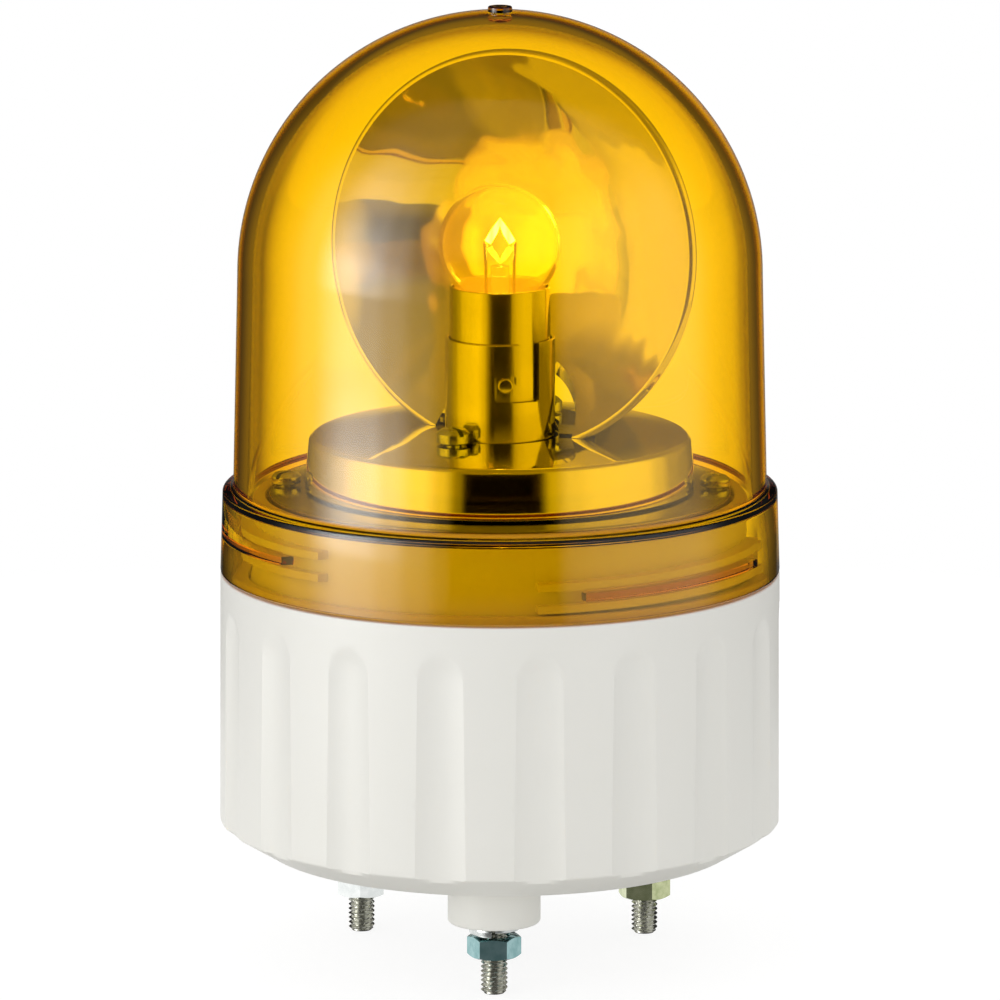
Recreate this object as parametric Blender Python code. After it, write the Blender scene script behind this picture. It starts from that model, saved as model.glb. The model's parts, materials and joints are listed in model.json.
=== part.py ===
"""Rotating beacon light: a screw-on amber globe over a mirror-plated reflector that a small motor
turns round a bayonet bulb, on a fluted base that is fixed by three studs.

Metres, +Z up along the rotor's axis. The origin is the centre of the plane of the three foot
faces, which lie on the panel. The front foot points along -Y.
"""

import math

import bmesh
import bpy
from mathutils import Matrix, Vector

MM = 0.001

# Clearances
SEAT_GAP = 0.3 * MM
RUN_GAP = 0.45 * MM
SCREW_CLEARANCE = 0.3 * MM
CUT_OVERRUN = 1.5 * MM
JOIN_OVERLAP = 0.5 * MM
WELD = 0.0005 * MM

# Facets of round shapes
GLOBE_STEPS = 48
BODY_STEPS = 54
FLUTE_STEPS = 24
ROUND_STEPS = 24
SMALL_STEPS = 12

# Outline that the base housing and the globe's skirt share
BODY_RADIUS = 42.0 * MM
SKIRT_DRAFT = 0.4 * MM
SKIRT_WALL = 2.3 * MM
THREAD_ROOM = 2.7 * MM
SKIRT_BORE_RADIUS = BODY_RADIUS - SKIRT_WALL

# Base housing
FOOT_CIRCLE_RADIUS = 25.0 * MM
FOOT_RADIUS = 6.9 * MM
FOOT_LENGTH = 6.4 * MM
FOOT_ANGLES = tuple(math.radians(angle) for angle in (-90, 30, 150))
FOOT_RECESS_RADIUS = 4.5 * MM
FOOT_RECESS_DEPTH = 0.3 * MM
FLOOR_THICKNESS = 2.5 * MM
CHAMFER_HEIGHT = 3.8 * MM
CHAMFER_WIDTH = 6.28 * MM
WALL_DRAFT = 0.28 * MM
WALL_HEIGHT = 37.8 * MM
WALL_THICKNESS = 2.6 * MM
NECK_WALL = 2.0 * MM
NECK_HEIGHT = 12.4 * MM
FLUTE_COUNT = 18
FLUTE_WIDTH = 7.2 * MM
FLUTE_DEPTH = 0.8 * MM
FLUTE_TOP_BELOW_SEAM = 4.5 * MM
POST_RADIUS = 3.3 * MM
POST_ANGLES = tuple(math.radians(angle) for angle in (0, 180))
CABLE_HOLE_RADIUS = 6.0 * MM
PEDESTAL_RADIUS = 3.6 * MM
PEDESTAL_HEIGHT = 4.0 * MM
PEDESTAL_HOLE_DEPTH = 3.4 * MM

WALL_TOP_RADIUS = BODY_RADIUS
WALL_FOOT_RADIUS = WALL_TOP_RADIUS + WALL_DRAFT
FLOOR_RADIUS = WALL_FOOT_RADIUS - CHAMFER_WIDTH
NECK_RADIUS = SKIRT_BORE_RADIUS - THREAD_ROOM
NECK_BORE_RADIUS = NECK_RADIUS - NECK_WALL
FLOOR_BOTTOM = FOOT_LENGTH
FLOOR_TOP = FLOOR_BOTTOM + FLOOR_THICKNESS
WALL_FOOT = FLOOR_BOTTOM + CHAMFER_HEIGHT
SEAM = WALL_FOOT + WALL_HEIGHT
NECK_TOP = SEAM + NECK_HEIGHT

# Screw thread between neck and globe: interrupted ribs on one helix
THREAD_PITCH = 3.2 * MM
RIB_HEIGHT = 1.2 * MM
RIB_REACH = 2.0 * MM
GLOBE_RIB_REACH = 2.1 * MM
RIB_START_ABOVE_SEAM = 2.9 * MM
RIB_WINDOWS = 3
RIB_WINDOW_TURN = math.radians(70)
GLOBE_RIB_TURN = math.radians(50)
RIB_FIRST_ANGLE = math.radians(-80)
RIB_TURNS = 2
GLOBE_RIB_TURNS = 1
RIB_STEP = math.radians(10)

# Globe
SKIRT_HEIGHT = 12.4 * MM
SKIRT_FOOT_RADIUS = BODY_RADIUS
SKIRT_TOP_RADIUS = SKIRT_FOOT_RADIUS - SKIRT_DRAFT
SKIRT_SHOULDER = 0.4 * MM
SHOULDER_ROOF = 1.2 * MM
SHOULDER_WIDTH = 1.6 * MM
DOME_DRAFT = 0.8 * MM
DOME_FOOT_RADIUS = SKIRT_TOP_RADIUS - SHOULDER_WIDTH
DOME_RADIUS = DOME_FOOT_RADIUS - DOME_DRAFT
DOME_WALL = 2.2 * MM
DOME_CENTRE_ABOVE_SEAM = 45.4 * MM
DOME_RINGS = 8
NUB_RADIUS = 1.8 * MM
NUB_HEIGHT = 0.8 * MM
NUB_DIMPLE_RADIUS = 0.9 * MM
NUB_DIMPLE_DEPTH = 0.3 * MM

GLOBE_BOTTOM = SEAM + SEAT_GAP
SKIRT_TOP = GLOBE_BOTTOM + SKIRT_HEIGHT
DOME_FOOT = SKIRT_TOP + SKIRT_SHOULDER
DOME_CENTRE = SEAM + DOME_CENTRE_ABOVE_SEAM

# Globe gasket
GASKET_THICKNESS = 1.0 * MM

# Deck plate
DECK_THICKNESS = 1.2 * MM
DECK_PROUD = 0.6 * MM
DECK_EDGE_GAP = 0.4 * MM
DECK_SCREW_INSET = 2.4 * MM
DECK_RADIUS = NECK_BORE_RADIUS - DECK_EDGE_GAP
POST_CIRCLE_RADIUS = DECK_RADIUS - DECK_SCREW_INSET
DECK_TOP = NECK_TOP + DECK_PROUD
DECK_BOTTOM = DECK_TOP - DECK_THICKNESS
POST_TOP = DECK_BOTTOM - SEAT_GAP

# Screws of the deck, the motor, the bracket and the rotor
DECK_SCREW_RADIUS = 1.25 * MM
DECK_SCREW_HEAD_RADIUS = 2.25 * MM
DECK_SCREW_HEAD_HEIGHT = 1.6 * MM
DECK_SCREW_LENGTH = 9.0 * MM
MOTOR_SCREW_RADIUS = 1.0 * MM
MOTOR_SCREW_HEAD_RADIUS = 1.9 * MM
MOTOR_SCREW_HEAD_HEIGHT = 0.9 * MM
MOTOR_SCREW_LENGTH = 4.0 * MM
BRACKET_SCREW_RADIUS = 1.25 * MM
BRACKET_SCREW_HEAD_RADIUS = 2.3 * MM
BRACKET_SCREW_HEAD_HEIGHT = 1.5 * MM
ROTOR_SCREW_RADIUS = 1.25 * MM
ROTOR_SCREW_HEAD_RADIUS = 2.8 * MM
ROTOR_SCREW_HEAD_HEIGHT = 2.3 * MM
ROTOR_SCREW_OFF_BORE = 2.3 * MM
ROTOR_SCREW_BITE = 3.0 * MM
SLOT_WIDTH_SHARE = 0.3
SLOT_DEPTH_SHARE = 0.45
CROWN_SHARE = 0.35

# Bulb cap, and the socket tube with its bayonet slots
CAP_RADIUS = 7.55 * MM
CAP_PLAY = 0.2 * MM
TUBE_WALL = 0.5 * MM
TUBE_RADIUS = CAP_RADIUS + CAP_PLAY + TUBE_WALL
TUBE_ABOVE_DRUM = 14.8 * MM
PIN_BELOW_TUBE_TOP = 6.1 * MM
PIN_RADIUS = 1.15 * MM
PIN_PROUD = 0.35 * MM
PIN_REACH = TUBE_RADIUS + PIN_PROUD
PIN_ANGLE = math.radians(-82.3)
SLOT_PLAY = 0.25 * MM
PUSH_TRAVEL = 1.3 * MM
SLOT_WIDTH = 3.3 * MM
SLOT_TURN = math.radians(27.5)
SLOT_NOSE_HEIGHT = 2.6 * MM

# Rotor bearing and drive
BUSH_WALL = 1.4 * MM
BUSH_FLANGE_REACH = 1.8 * MM
BUSH_FLANGE_THICKNESS = 0.7 * MM
BUSH_BELOW_DECK = 2.1 * MM
HUB_SLEEVE_WALL = 1.0 * MM
HUB_BOSS_RIM = 2.6 * MM
HUB_HEIGHT = 5.2 * MM
CLIP_THICKNESS = 0.8 * MM
CLIP_REACH = 1.9 * MM
CLIP_GROOVE_DEPTH = 0.4 * MM
CLIP_PLAY = 0.1 * MM
CLIP_GAP_TURN = math.radians(60)
SLEEVE_BELOW_CLIP = 0.8 * MM
MOTOR_RADIUS = 9.4 * MM
MOTOR_EDGE_ROOM = 4.0 * MM
GEAR_TEETH = 44
PINION_TEETH = 10
ADDENDUM_SHARE = 0.72
DEDENDUM_SHARE = 1.15
TOOTH_ROOT_SHARE = 0.56
TOOTH_TIP_SHARE = 0.2
GEAR_LIFT = 0.3 * MM
GEAR_THICKNESS = 2.4 * MM
PINION_EXTRA = 0.5 * MM

SLEEVE_BORE_RADIUS = TUBE_RADIUS + RUN_GAP
ROTOR_SCREW_CIRCLE = SLEEVE_BORE_RADIUS + ROTOR_SCREW_OFF_BORE
HUB_BOSS_RADIUS = ROTOR_SCREW_CIRCLE + HUB_BOSS_RIM
SLEEVE_RADIUS = SLEEVE_BORE_RADIUS + HUB_SLEEVE_WALL
BUSH_BORE_RADIUS = SLEEVE_RADIUS + SEAT_GAP
BUSH_RADIUS = BUSH_BORE_RADIUS + BUSH_WALL
BUSH_FLANGE_RADIUS = BUSH_RADIUS + BUSH_FLANGE_REACH
BUSH_FLANGE_BOTTOM = DECK_TOP + SEAT_GAP
BUSH_TOP = BUSH_FLANGE_BOTTOM + BUSH_FLANGE_THICKNESS
BUSH_BOTTOM = DECK_BOTTOM - BUSH_BELOW_DECK
HUB_BOTTOM = BUSH_TOP + SEAT_GAP
HUB_TOP = HUB_BOTTOM + HUB_HEIGHT
CLIP_TOP = BUSH_BOTTOM - SEAT_GAP
CLIP_BOTTOM = CLIP_TOP - CLIP_THICKNESS
SLEEVE_BOTTOM = CLIP_BOTTOM - SLEEVE_BELOW_CLIP
GEAR_BOTTOM = HUB_BOTTOM + GEAR_LIFT
GEAR_TOP = GEAR_BOTTOM + GEAR_THICKNESS
MOTOR_CIRCLE = NECK_BORE_RADIUS - MOTOR_EDGE_ROOM - MOTOR_RADIUS
GEAR_MODULE = 2 * MOTOR_CIRCLE / (GEAR_TEETH + PINION_TEETH)
GEAR_PITCH_RADIUS = GEAR_MODULE * GEAR_TEETH / 2
PINION_PITCH_RADIUS = GEAR_MODULE * PINION_TEETH / 2
MOTOR_ANGLE = math.radians(90)

# Motor
MOTOR_LENGTH = 26.0 * MM
MOTOR_CAP_LENGTH = 2.0 * MM
MOTOR_BOSS_RADIUS = 2.8 * MM
MOTOR_BOSS_HEIGHT = 1.2 * MM
MOTOR_SCREW_SPREAD = 6.0 * MM
SHAFT_RADIUS = 1.0 * MM
SHAFT_ABOVE_PINION = 0.8 * MM
SHAFT_BELOW_CAN_TOP = 20.0 * MM
TAB_WIDTH = 2.0 * MM
TAB_THICKNESS = 0.5 * MM
TAB_LENGTH = 5.0 * MM
TAB_SPREAD = 5.0 * MM

MOTOR_TOP = DECK_BOTTOM - SEAT_GAP
MOTOR_BOTTOM = MOTOR_TOP - MOTOR_LENGTH
MOTOR_CAP_BOTTOM = MOTOR_BOTTOM - SEAT_GAP - MOTOR_CAP_LENGTH

# Rotor drum
DRUM_TOP_RADIUS = 28.6 * MM
DRUM_FOOT_RADIUS = 29.3 * MM
DRUM_WALL = 1.3 * MM
DRUM_ROOF = 1.2 * MM
DRUM_HEIGHT = 7.1 * MM
DRUM_CORNER_RADIUS = 0.9 * MM
DRUM_CORNER_RINGS = 2
DRUM_ROOF_BOTTOM = HUB_TOP + SEAT_GAP
DRUM_TOP = DRUM_ROOF_BOTTOM + DRUM_ROOF
DRUM_BOTTOM = DRUM_TOP - DRUM_HEIGHT
TUBE_TOP = DRUM_TOP + TUBE_ABOVE_DRUM
PIN_HEIGHT = TUBE_TOP - PIN_BELOW_TUBE_TOP

# Reflector
REFLECTOR_TURN = math.radians(-24)
REFLECTOR_LEAN = math.radians(3)
RIM_RADIUS = 30.3 * MM
RIM_LIP = 1.1 * MM
DISH_DEPTH = 14.0 * MM
DISH_WALL = 1.0 * MM
DISH_RINGS = 6
RIM_SET_BACK = 2.5 * MM
RIM_CENTRE_ABOVE_DRUM = 27.2 * MM
DISH_SOCKET_ROOM = 3.15 * MM
DISH_SOCKET_HOLE_RADIUS = TUBE_RADIUS + DISH_SOCKET_ROOM
DISH_HOLE_TOP_ABOVE_DRUM = 21.0 * MM
FLANGE_THICKNESS = 1.4 * MM
FLANGE_OFF_BORE = 0.2 * MM
FLANGE_WIDTH = 6.9 * MM
FLANGE_INNER_RADIUS = SLEEVE_BORE_RADIUS + FLANGE_OFF_BORE
FLANGE_OUTER_RADIUS = FLANGE_INNER_RADIUS + FLANGE_WIDTH
FLANGE_TURN = math.radians(176)
ROTOR_SCREW_TURN = math.radians(-13)

# Socket inside and bracket
BRACKET_DROP = 9.0 * MM
BRACKET_THICKNESS = 1.2 * MM
BRACKET_WIDTH = 11.0 * MM
BRACKET_HALF_SPAN = 14.6 * MM
BRACKET_FOOT = 8.0 * MM
BRACKET_HOLE_RADIUS = 3.0 * MM
TUBE_FOOT_DISC_THICKNESS = 3.0 * MM
DISC_PLAY = 0.35 * MM
CONTACT_DISC_THICKNESS = 1.8 * MM
CONTACT_STUD_RADIUS = 1.2 * MM
CONTACT_HEAD_RADIUS = 2.4 * MM
CONTACT_HEAD_HEIGHT = 1.3 * MM
CONTACT_STUD_TAIL = 2.8 * MM
SPRING_RADIUS = 4.6 * MM
SPRING_WIRE_RADIUS = 0.4 * MM
SPRING_TURNS = 5
SPRING_POINTS_PER_TURN = 8

# Bulb
GLASS_RADIUS = 9.03 * MM
GLASS_WALL = 0.6 * MM
CAP_WALL = 0.4 * MM
CAP_CEMENT = 0.35 * MM
GLASS_NECK_RADIUS = CAP_RADIUS - CAP_WALL - CAP_CEMENT
GLASS_NECK_INSIDE_CAP = 6.0 * MM
GLASS_CENTRE_ABOVE_TUBE = 14.9 * MM
GLASS_RINGS = 6
CAP_BELOW_GLASS_CENTRE = 7.3 * MM
CAP_LENGTH = 19.4 * MM
INSULATOR_RADIUS = CAP_RADIUS - CAP_WALL - CAP_CEMENT
INSULATOR_THICKNESS = 3.0 * MM
TIP_RADIUS = 2.3 * MM
TIP_HEIGHT = 3.6 * MM
TIP_PROUD = 1.0 * MM
STEM_RADIUS = 1.4 * MM
STEM_TOP_BELOW_CENTRE = 4.4 * MM
STEM_FLARE_THICKNESS = 0.8 * MM
STEM_SHOULDER_RADIUS = 2.7 * MM
STEM_SHOULDER_HEIGHT = 3.6 * MM
STEM_CONE_HEIGHT = 2.6 * MM
SUPPORT_RADIUS = 0.25 * MM
SUPPORT_SPREAD = 2.3 * MM
SUPPORT_FOOT_SPREAD = 2.1 * MM
FILAMENT_RADIUS = 0.3 * MM
FILAMENT_RISE = 1.7 * MM
FILAMENT_SHARES = (-1.0, -0.5, -0.15, 0.15, 0.5, 1.0)
SUPPORT_TOP_BELOW_CENTRE = 0.9 * MM

GLASS_CENTRE = TUBE_TOP + GLASS_CENTRE_ABOVE_TUBE
CAP_TOP = GLASS_CENTRE - CAP_BELOW_GLASS_CENTRE
CAP_BOTTOM = CAP_TOP - CAP_LENGTH
TIP_BOTTOM = CAP_BOTTOM - TIP_PROUD
CONTACT_TOP = TIP_BOTTOM - SEAT_GAP
CONTACT_DISC_TOP = CONTACT_TOP - CONTACT_HEAD_HEIGHT - SEAT_GAP
CONTACT_DISC_BOTTOM = CONTACT_DISC_TOP - CONTACT_DISC_THICKNESS
CONTACT_STUD_BOTTOM = CONTACT_DISC_BOTTOM - CONTACT_STUD_TAIL
BRACKET_TOP = DECK_BOTTOM - BRACKET_DROP
BRACKET_BOTTOM = BRACKET_TOP - BRACKET_THICKNESS
TUBE_BOTTOM = BRACKET_TOP + SEAT_GAP
FOOT_DISC_TOP = TUBE_BOTTOM + TUBE_FOOT_DISC_THICKNESS

# Terminal block
BLOCK_WIDTH = 20.0 * MM
BLOCK_DEPTH = 10.0 * MM
BLOCK_HEIGHT = 9.0 * MM
BLOCK_CIRCLE = 22.5 * MM
BLOCK_SCREW_SPREAD = 5.5 * MM
BLOCK_SCREW_RADIUS = 1.5 * MM
BLOCK_SCREW_HEAD_RADIUS = 1.9 * MM
BLOCK_SCREW_HEAD_HEIGHT = 1.1 * MM
BLOCK_SCREW_BITE = 4.0 * MM
WIRE_HOLE_RADIUS = 1.5 * MM
WIRE_HOLE_ABOVE_FOOT = 3.2 * MM
BLOCK_BOTTOM = FLOOR_TOP + PEDESTAL_HEIGHT + SEAT_GAP
BLOCK_TOP = BLOCK_BOTTOM + BLOCK_HEIGHT
FIXING_HEAD_HEIGHT = 1.4 * MM
FIXING_HEAD_RADIUS = 2.2 * MM
FIXING_BITE = 2.6 * MM

# Leads
LEAD_RADIUS = 0.7 * MM
LEAD_POINTS = 12

# Cable grommet
GROMMET_BORE_RADIUS = 3.4 * MM
GROMMET_FLANGE_REACH = 1.8 * MM
GROMMET_FLANGE_THICKNESS = 1.3 * MM

# Mounting screws, spring washers and nuts (M4)
STUD_RADIUS = 2.0 * MM
STUD_BELOW_FEET = 11.0 * MM
STUD_HEAD_ACROSS_FLATS = 7.0 * MM
STUD_HEAD_HEIGHT = 2.8 * MM
STUD_TIP_CHAMFER = 0.5 * MM
WASHER_BORE_RADIUS = 2.25 * MM
WASHER_RADIUS = 3.75 * MM
WASHER_THICKNESS = 1.1 * MM
WASHER_RISE = 0.75 * MM
WASHER_GAP_TURN = math.radians(8)
NUT_ACROSS_FLATS = 7.0 * MM
NUT_HEIGHT = 3.2 * MM
NUT_CHAMFER = 0.35 * MM
WASHER_TOP = FOOT_RECESS_DEPTH - SEAT_GAP
WASHER_BOTTOM = WASHER_TOP - WASHER_THICKNESS - WASHER_RISE
NUT_TOP = WASHER_BOTTOM - SEAT_GAP
NUT_BOTTOM = NUT_TOP - NUT_HEIGHT
BLOCK_STEPS = 6

# Colours of the finishes: red, green, blue, roughness, metallic
FINISHES = {
    "abs_off_white": (0.82, 0.81, 0.76, 0.45, 0.0),
    "amber_polycarbonate": (1.0, 0.50, 0.02, 0.12, 0.0),
    "black_rubber": (0.02, 0.02, 0.02, 0.7, 0.0),
    "natural_silicone": (0.78, 0.75, 0.68, 0.5, 0.0),
    "dark_steel": (0.08, 0.08, 0.075, 0.45, 1.0),
    "plated_mirror": (0.86, 0.86, 0.85, 0.05, 1.0),
    "zinc_steel": (0.66, 0.68, 0.68, 0.3, 1.0),
    "acetal_white": (0.85, 0.85, 0.82, 0.4, 0.0),
    "sintered_bronze": (0.55, 0.36, 0.18, 0.5, 1.0),
    "brass": (0.78, 0.58, 0.26, 0.3, 1.0),
    "nickel": (0.72, 0.69, 0.63, 0.2, 1.0),
    "phenolic": (0.12, 0.06, 0.03, 0.55, 0.0),
    "clear_glass": (0.95, 0.95, 0.95, 0.02, 0.0),
    "tungsten": (1.0, 0.72, 0.3, 0.5, 1.0),
    "solder": (0.6, 0.6, 0.6, 0.4, 1.0),
    "red_lead": (0.6, 0.03, 0.02, 0.5, 0.0),
    "black_lead": (0.02, 0.02, 0.02, 0.5, 0.0),
}


def clear_scene():
    for thing in list(bpy.data.objects):
        bpy.data.objects.remove(thing, do_unlink=True)


def finish(name):
    """The material of this name, made on first use."""
    found = bpy.data.materials.get(name)
    if found:
        return found
    red, green, blue, roughness, metallic = FINISHES[name]
    material = bpy.data.materials.new(name)
    material.use_nodes = True
    shader = material.node_tree.nodes["Principled BSDF"]
    shader.inputs["Base Color"].default_value = (red, green, blue, 1)
    shader.inputs["Roughness"].default_value = roughness
    shader.inputs["Metallic"].default_value = metallic
    return material


# Shapes, each a new bmesh


def turned(outline, steps=ROUND_STEPS):
    """Spin (radius, height) points round Z. The outline is closed, or starts and ends on the axis."""
    shape = bmesh.new()
    corners = [shape.verts.new((radius, 0, height)) for radius, height in outline]
    open_ended = outline[0][0] == 0 and outline[-1][0] == 0
    ends = corners[1:] if open_ended else corners[1:] + corners[:1]
    edges = [shape.edges.new(pair) for pair in zip(corners, ends)]
    bmesh.ops.spin(
        shape, geom=corners + edges, cent=(0, 0, 0), axis=(0, 0, 1), angle=math.tau,
        steps=steps, use_merge=True,
    )
    bmesh.ops.remove_doubles(shape, verts=shape.verts, dist=WELD)
    bmesh.ops.recalc_face_normals(shape, faces=shape.faces)
    return shape


def tube(inner, outer, low, high, steps=ROUND_STEPS):
    return turned([(inner, low), (outer, low), (outer, high), (inner, high)], steps)


def rod(radius, low, high, steps=SMALL_STEPS):
    return turned([(0, low), (radius, low), (radius, high), (0, high)], steps)


def box(low, high):
    shape = bmesh.new()
    bmesh.ops.create_cube(shape, size=1)
    size = [end - start for start, end in zip(low, high)]
    middle = [(start + end) / 2 for start, end in zip(low, high)]
    bmesh.ops.scale(shape, vec=size, verts=shape.verts)
    bmesh.ops.translate(shape, vec=middle, verts=shape.verts)
    return shape


def prism(outline, low, high):
    """Extrude a flat (x, y) outline from one height to another."""
    shape = bmesh.new()
    face = shape.faces.new([shape.verts.new((x, y, low)) for x, y in outline])
    grown = bmesh.ops.extrude_face_region(shape, geom=[face])
    tops = [item for item in grown["geom"] if isinstance(item, bmesh.types.BMVert)]
    bmesh.ops.translate(shape, vec=(0, 0, high - low), verts=tops)
    bmesh.ops.recalc_face_normals(shape, faces=shape.faces)
    return shape


def hexagon(across_flats, low, high, chamfer=0.0):
    """A hexagonal prism with its corners turned off by a cone at the ends that have a chamfer."""
    reach = across_flats / math.sqrt(3)
    outline = [polar(reach, math.radians(60) * corner) for corner in range(6)]
    shape = prism(outline, low, high)
    if chamfer:
        rims = [edge for edge in shape.edges if abs(edge.verts[0].co.z - edge.verts[1].co.z) < WELD]
        bmesh.ops.bevel(
            shape, geom=rims, offset=chamfer, offset_type="OFFSET", segments=1, profile=0.5,
            affect="EDGES", clamp_overlap=True, material=-1,
        )
    return shape


def swept_rings(rings):
    """Bridge equal closed rings of points into a closed body with flat ends."""
    shape = bmesh.new()
    loops = [[shape.verts.new(point) for point in ring] for ring in rings]
    count = len(loops[0])
    for first, second in zip(loops, loops[1:]):
        for corner in range(count):
            after = (corner + 1) % count
            shape.faces.new((first[corner], first[after], second[after], second[corner]))
    shape.faces.new(loops[0][::-1])
    shape.faces.new(loops[-1])
    bmesh.ops.recalc_face_normals(shape, faces=shape.faces)
    return shape


def helix_rib(inner, outer, middle, height, start, turn):
    """A rib on the thread's helix, which passes height middle at angle zero."""
    steps = math.ceil(turn / RIB_STEP)
    rings = []
    for step in range(steps + 1):
        angle = start + turn * step / steps
        level = middle + THREAD_PITCH * angle / math.tau
        corners = (
            (inner, -height / 2), (outer, -height / 2), (outer, height / 2), (inner, height / 2)
        )
        rings.append([(*polar(radius, angle), level + rise) for radius, rise in corners])
    return swept_rings(rings)


def wrapped_prism(outline, inner, outer):
    """A body between two radii whose outline is given as (angle, height) points."""
    shape = bmesh.new()
    near = [shape.verts.new((*polar(inner, angle), height)) for angle, height in outline]
    far = [shape.verts.new((*polar(outer, angle), height)) for angle, height in outline]
    for corner in range(len(outline)):
        after = (corner + 1) % len(outline)
        shape.faces.new((near[corner], near[after], far[after], far[corner]))
    ends = [shape.faces.new(near[::-1]), shape.faces.new(far)]
    bmesh.ops.triangulate(shape, faces=ends)
    bmesh.ops.recalc_face_normals(shape, faces=shape.faces)
    return shape


def gathered(shapes):
    """One bmesh that holds all these separate shapes."""
    whole = bmesh.new()
    for shape in shapes:
        carrier = bpy.data.meshes.new("carrier")
        shape.to_mesh(carrier)
        shape.free()
        whole.from_mesh(carrier)
        bpy.data.meshes.remove(carrier)
    return whole


def moved(shape, offset=(0, 0, 0), turn=0.0):
    """Turn a shape about Z and then move it."""
    shape.transform(Matrix.Translation(offset) @ Matrix.Rotation(turn, 4, "Z"))
    return shape


def polar(radius, angle):
    return radius * math.cos(angle), radius * math.sin(angle)


# Objects


def place(name, data, material, parent=None):
    thing = bpy.data.objects.new(name, data)
    bpy.context.scene.collection.objects.link(thing)
    if material:
        data.materials.append(finish(material))
    if parent:
        thing.parent = parent
    return thing


def solid(name, shape, material, at=(0, 0, 0), parent=None):
    mesh = bpy.data.meshes.new(name)
    shape.to_mesh(mesh)
    shape.free()
    thing = place(name, mesh, material, parent)
    thing.location = at
    mesh.shade_smooth()
    mesh.set_sharp_from_angle(angle=math.radians(35))
    return thing


def boolean(target, shape, operation):
    """Join a shape to the target, or cut it away, by a live Boolean with a hidden helper."""
    count = len(target.modifiers)
    helper = solid(f"{target.name}_helper_{count}", shape, None)
    helper.matrix_world = target.matrix_world
    helper.hide_render = True
    helper.display_type = "WIRE"
    modifier = target.modifiers.new(f"{operation.lower()}_{count}", "BOOLEAN")
    modifier.operation = operation
    modifier.object = helper


def cut(target, shape):
    boolean(target, shape, "DIFFERENCE")


def fuse(target, shape):
    boolean(target, shape, "UNION")


def axis_empty(name, at):
    empty = bpy.data.objects.new(name, None)
    bpy.context.scene.collection.objects.link(empty)
    empty.location = at
    return empty


def wire_between(name, points, radius, material, sides_level=1):
    """A round wire through the points of a smooth curve, with filled ends."""
    curve = bpy.data.curves.new(name, "CURVE")
    curve.dimensions = "3D"
    curve.bevel_depth = radius
    curve.bevel_resolution = sides_level
    curve.use_fill_caps = True
    spline = curve.splines.new("POLY")
    spline.points.add(len(points) - 1)
    for point, place_at in zip(spline.points, points):
        point.co = (*place_at, 1)
    return place(name, curve, material)


def smooth_route(route, count):
    """Points of a Catmull-Rom curve through the route's own points."""
    knots = [Vector(point) for point in route]
    knots = [2 * knots[0] - knots[1], *knots, 2 * knots[-1] - knots[-2]]
    spans = len(knots) - 3
    points = []
    for step in range(count + 1):
        where = spans * step / count
        span = min(int(where), spans - 1)
        share = where - span
        before, start, end, after = knots[span:span + 4]
        points.append(
            0.5 * (
                2 * start + (end - before) * share
                + (2 * before - 5 * start + 4 * end - after) * share**2
                + (3 * start - before - 3 * end + after) * share**3
            )
        )
    return points


def slotted_screw(head_radius, head_height, shank_radius, shank_length):
    """A pan-head screw whose head stands on height zero, with a slot across it."""
    crown = head_height * CROWN_SHARE
    slot_depth = head_height * SLOT_DEPTH_SHARE
    slot_half = head_radius * SLOT_WIDTH_SHARE / 2
    body = turned(
        [
            (0, -shank_length), (shank_radius, -shank_length), (shank_radius, 0), (head_radius, 0),
            (head_radius, head_height - crown), (head_radius - crown, head_height), (0, head_height),
        ],
        SMALL_STEPS,
    )
    reach = head_radius + CUT_OVERRUN
    slot = box(
        (-reach, -slot_half, head_height - slot_depth), (reach, slot_half, head_height + CUT_OVERRUN)
    )
    return body, slot


def screw_down(name, at, turn, sizes, material="zinc_steel", parent=None):
    body, slot = slotted_screw(*sizes)
    screw = solid(name, moved(body, turn=turn), material, at, parent)
    bpy.context.view_layer.update()
    cut(screw, moved(slot, turn=turn))
    return screw


# Base


def make_base():
    inner_foot = WALL_FOOT_RADIUS - WALL_THICKNESS
    inner_top = WALL_TOP_RADIUS - WALL_THICKNESS
    base = solid(
        "base_housing",
        turned(
            [
                (CABLE_HOLE_RADIUS, FLOOR_BOTTOM), (FLOOR_RADIUS, FLOOR_BOTTOM),
                (WALL_FOOT_RADIUS, WALL_FOOT), (WALL_TOP_RADIUS, SEAM), (NECK_RADIUS, SEAM),
                (NECK_RADIUS, NECK_TOP), (NECK_BORE_RADIUS, NECK_TOP),
                (NECK_BORE_RADIUS, SEAM - WALL_THICKNESS), (inner_top, SEAM - 2 * WALL_THICKNESS),
                (inner_foot, WALL_FOOT + WALL_THICKNESS), (FLOOR_RADIUS - WALL_THICKNESS, FLOOR_TOP),
                (CABLE_HOLE_RADIUS, FLOOR_TOP),
            ],
            BODY_STEPS,
        ),
        "abs_off_white",
    )
    feet = [
        moved(
            rod(FOOT_RADIUS, 0, FLOOR_BOTTOM + JOIN_OVERLAP, ROUND_STEPS),
            (*polar(FOOT_CIRCLE_RADIUS, angle), 0),
        )
        for angle in FOOT_ANGLES
    ]
    posts = [
        moved(
            rod(POST_RADIUS, FLOOR_TOP - JOIN_OVERLAP, POST_TOP),
            (*polar(POST_CIRCLE_RADIUS, angle), 0),
        )
        for angle in POST_ANGLES
    ]
    pedestal = moved(
        rod(PEDESTAL_RADIUS, FLOOR_TOP - JOIN_OVERLAP, FLOOR_TOP + PEDESTAL_HEIGHT),
        (*polar(BLOCK_CIRCLE, MOTOR_ANGLE), 0),
    )
    fuse(base, gathered([*feet, *posts, pedestal]))
    fuse(base, gathered(neck_ribs()))
    cut(base, gathered([flute(turn) for turn in range(FLUTE_COUNT)]))
    cut(base, gathered(foot_holes() + fixing_holes()))


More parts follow.
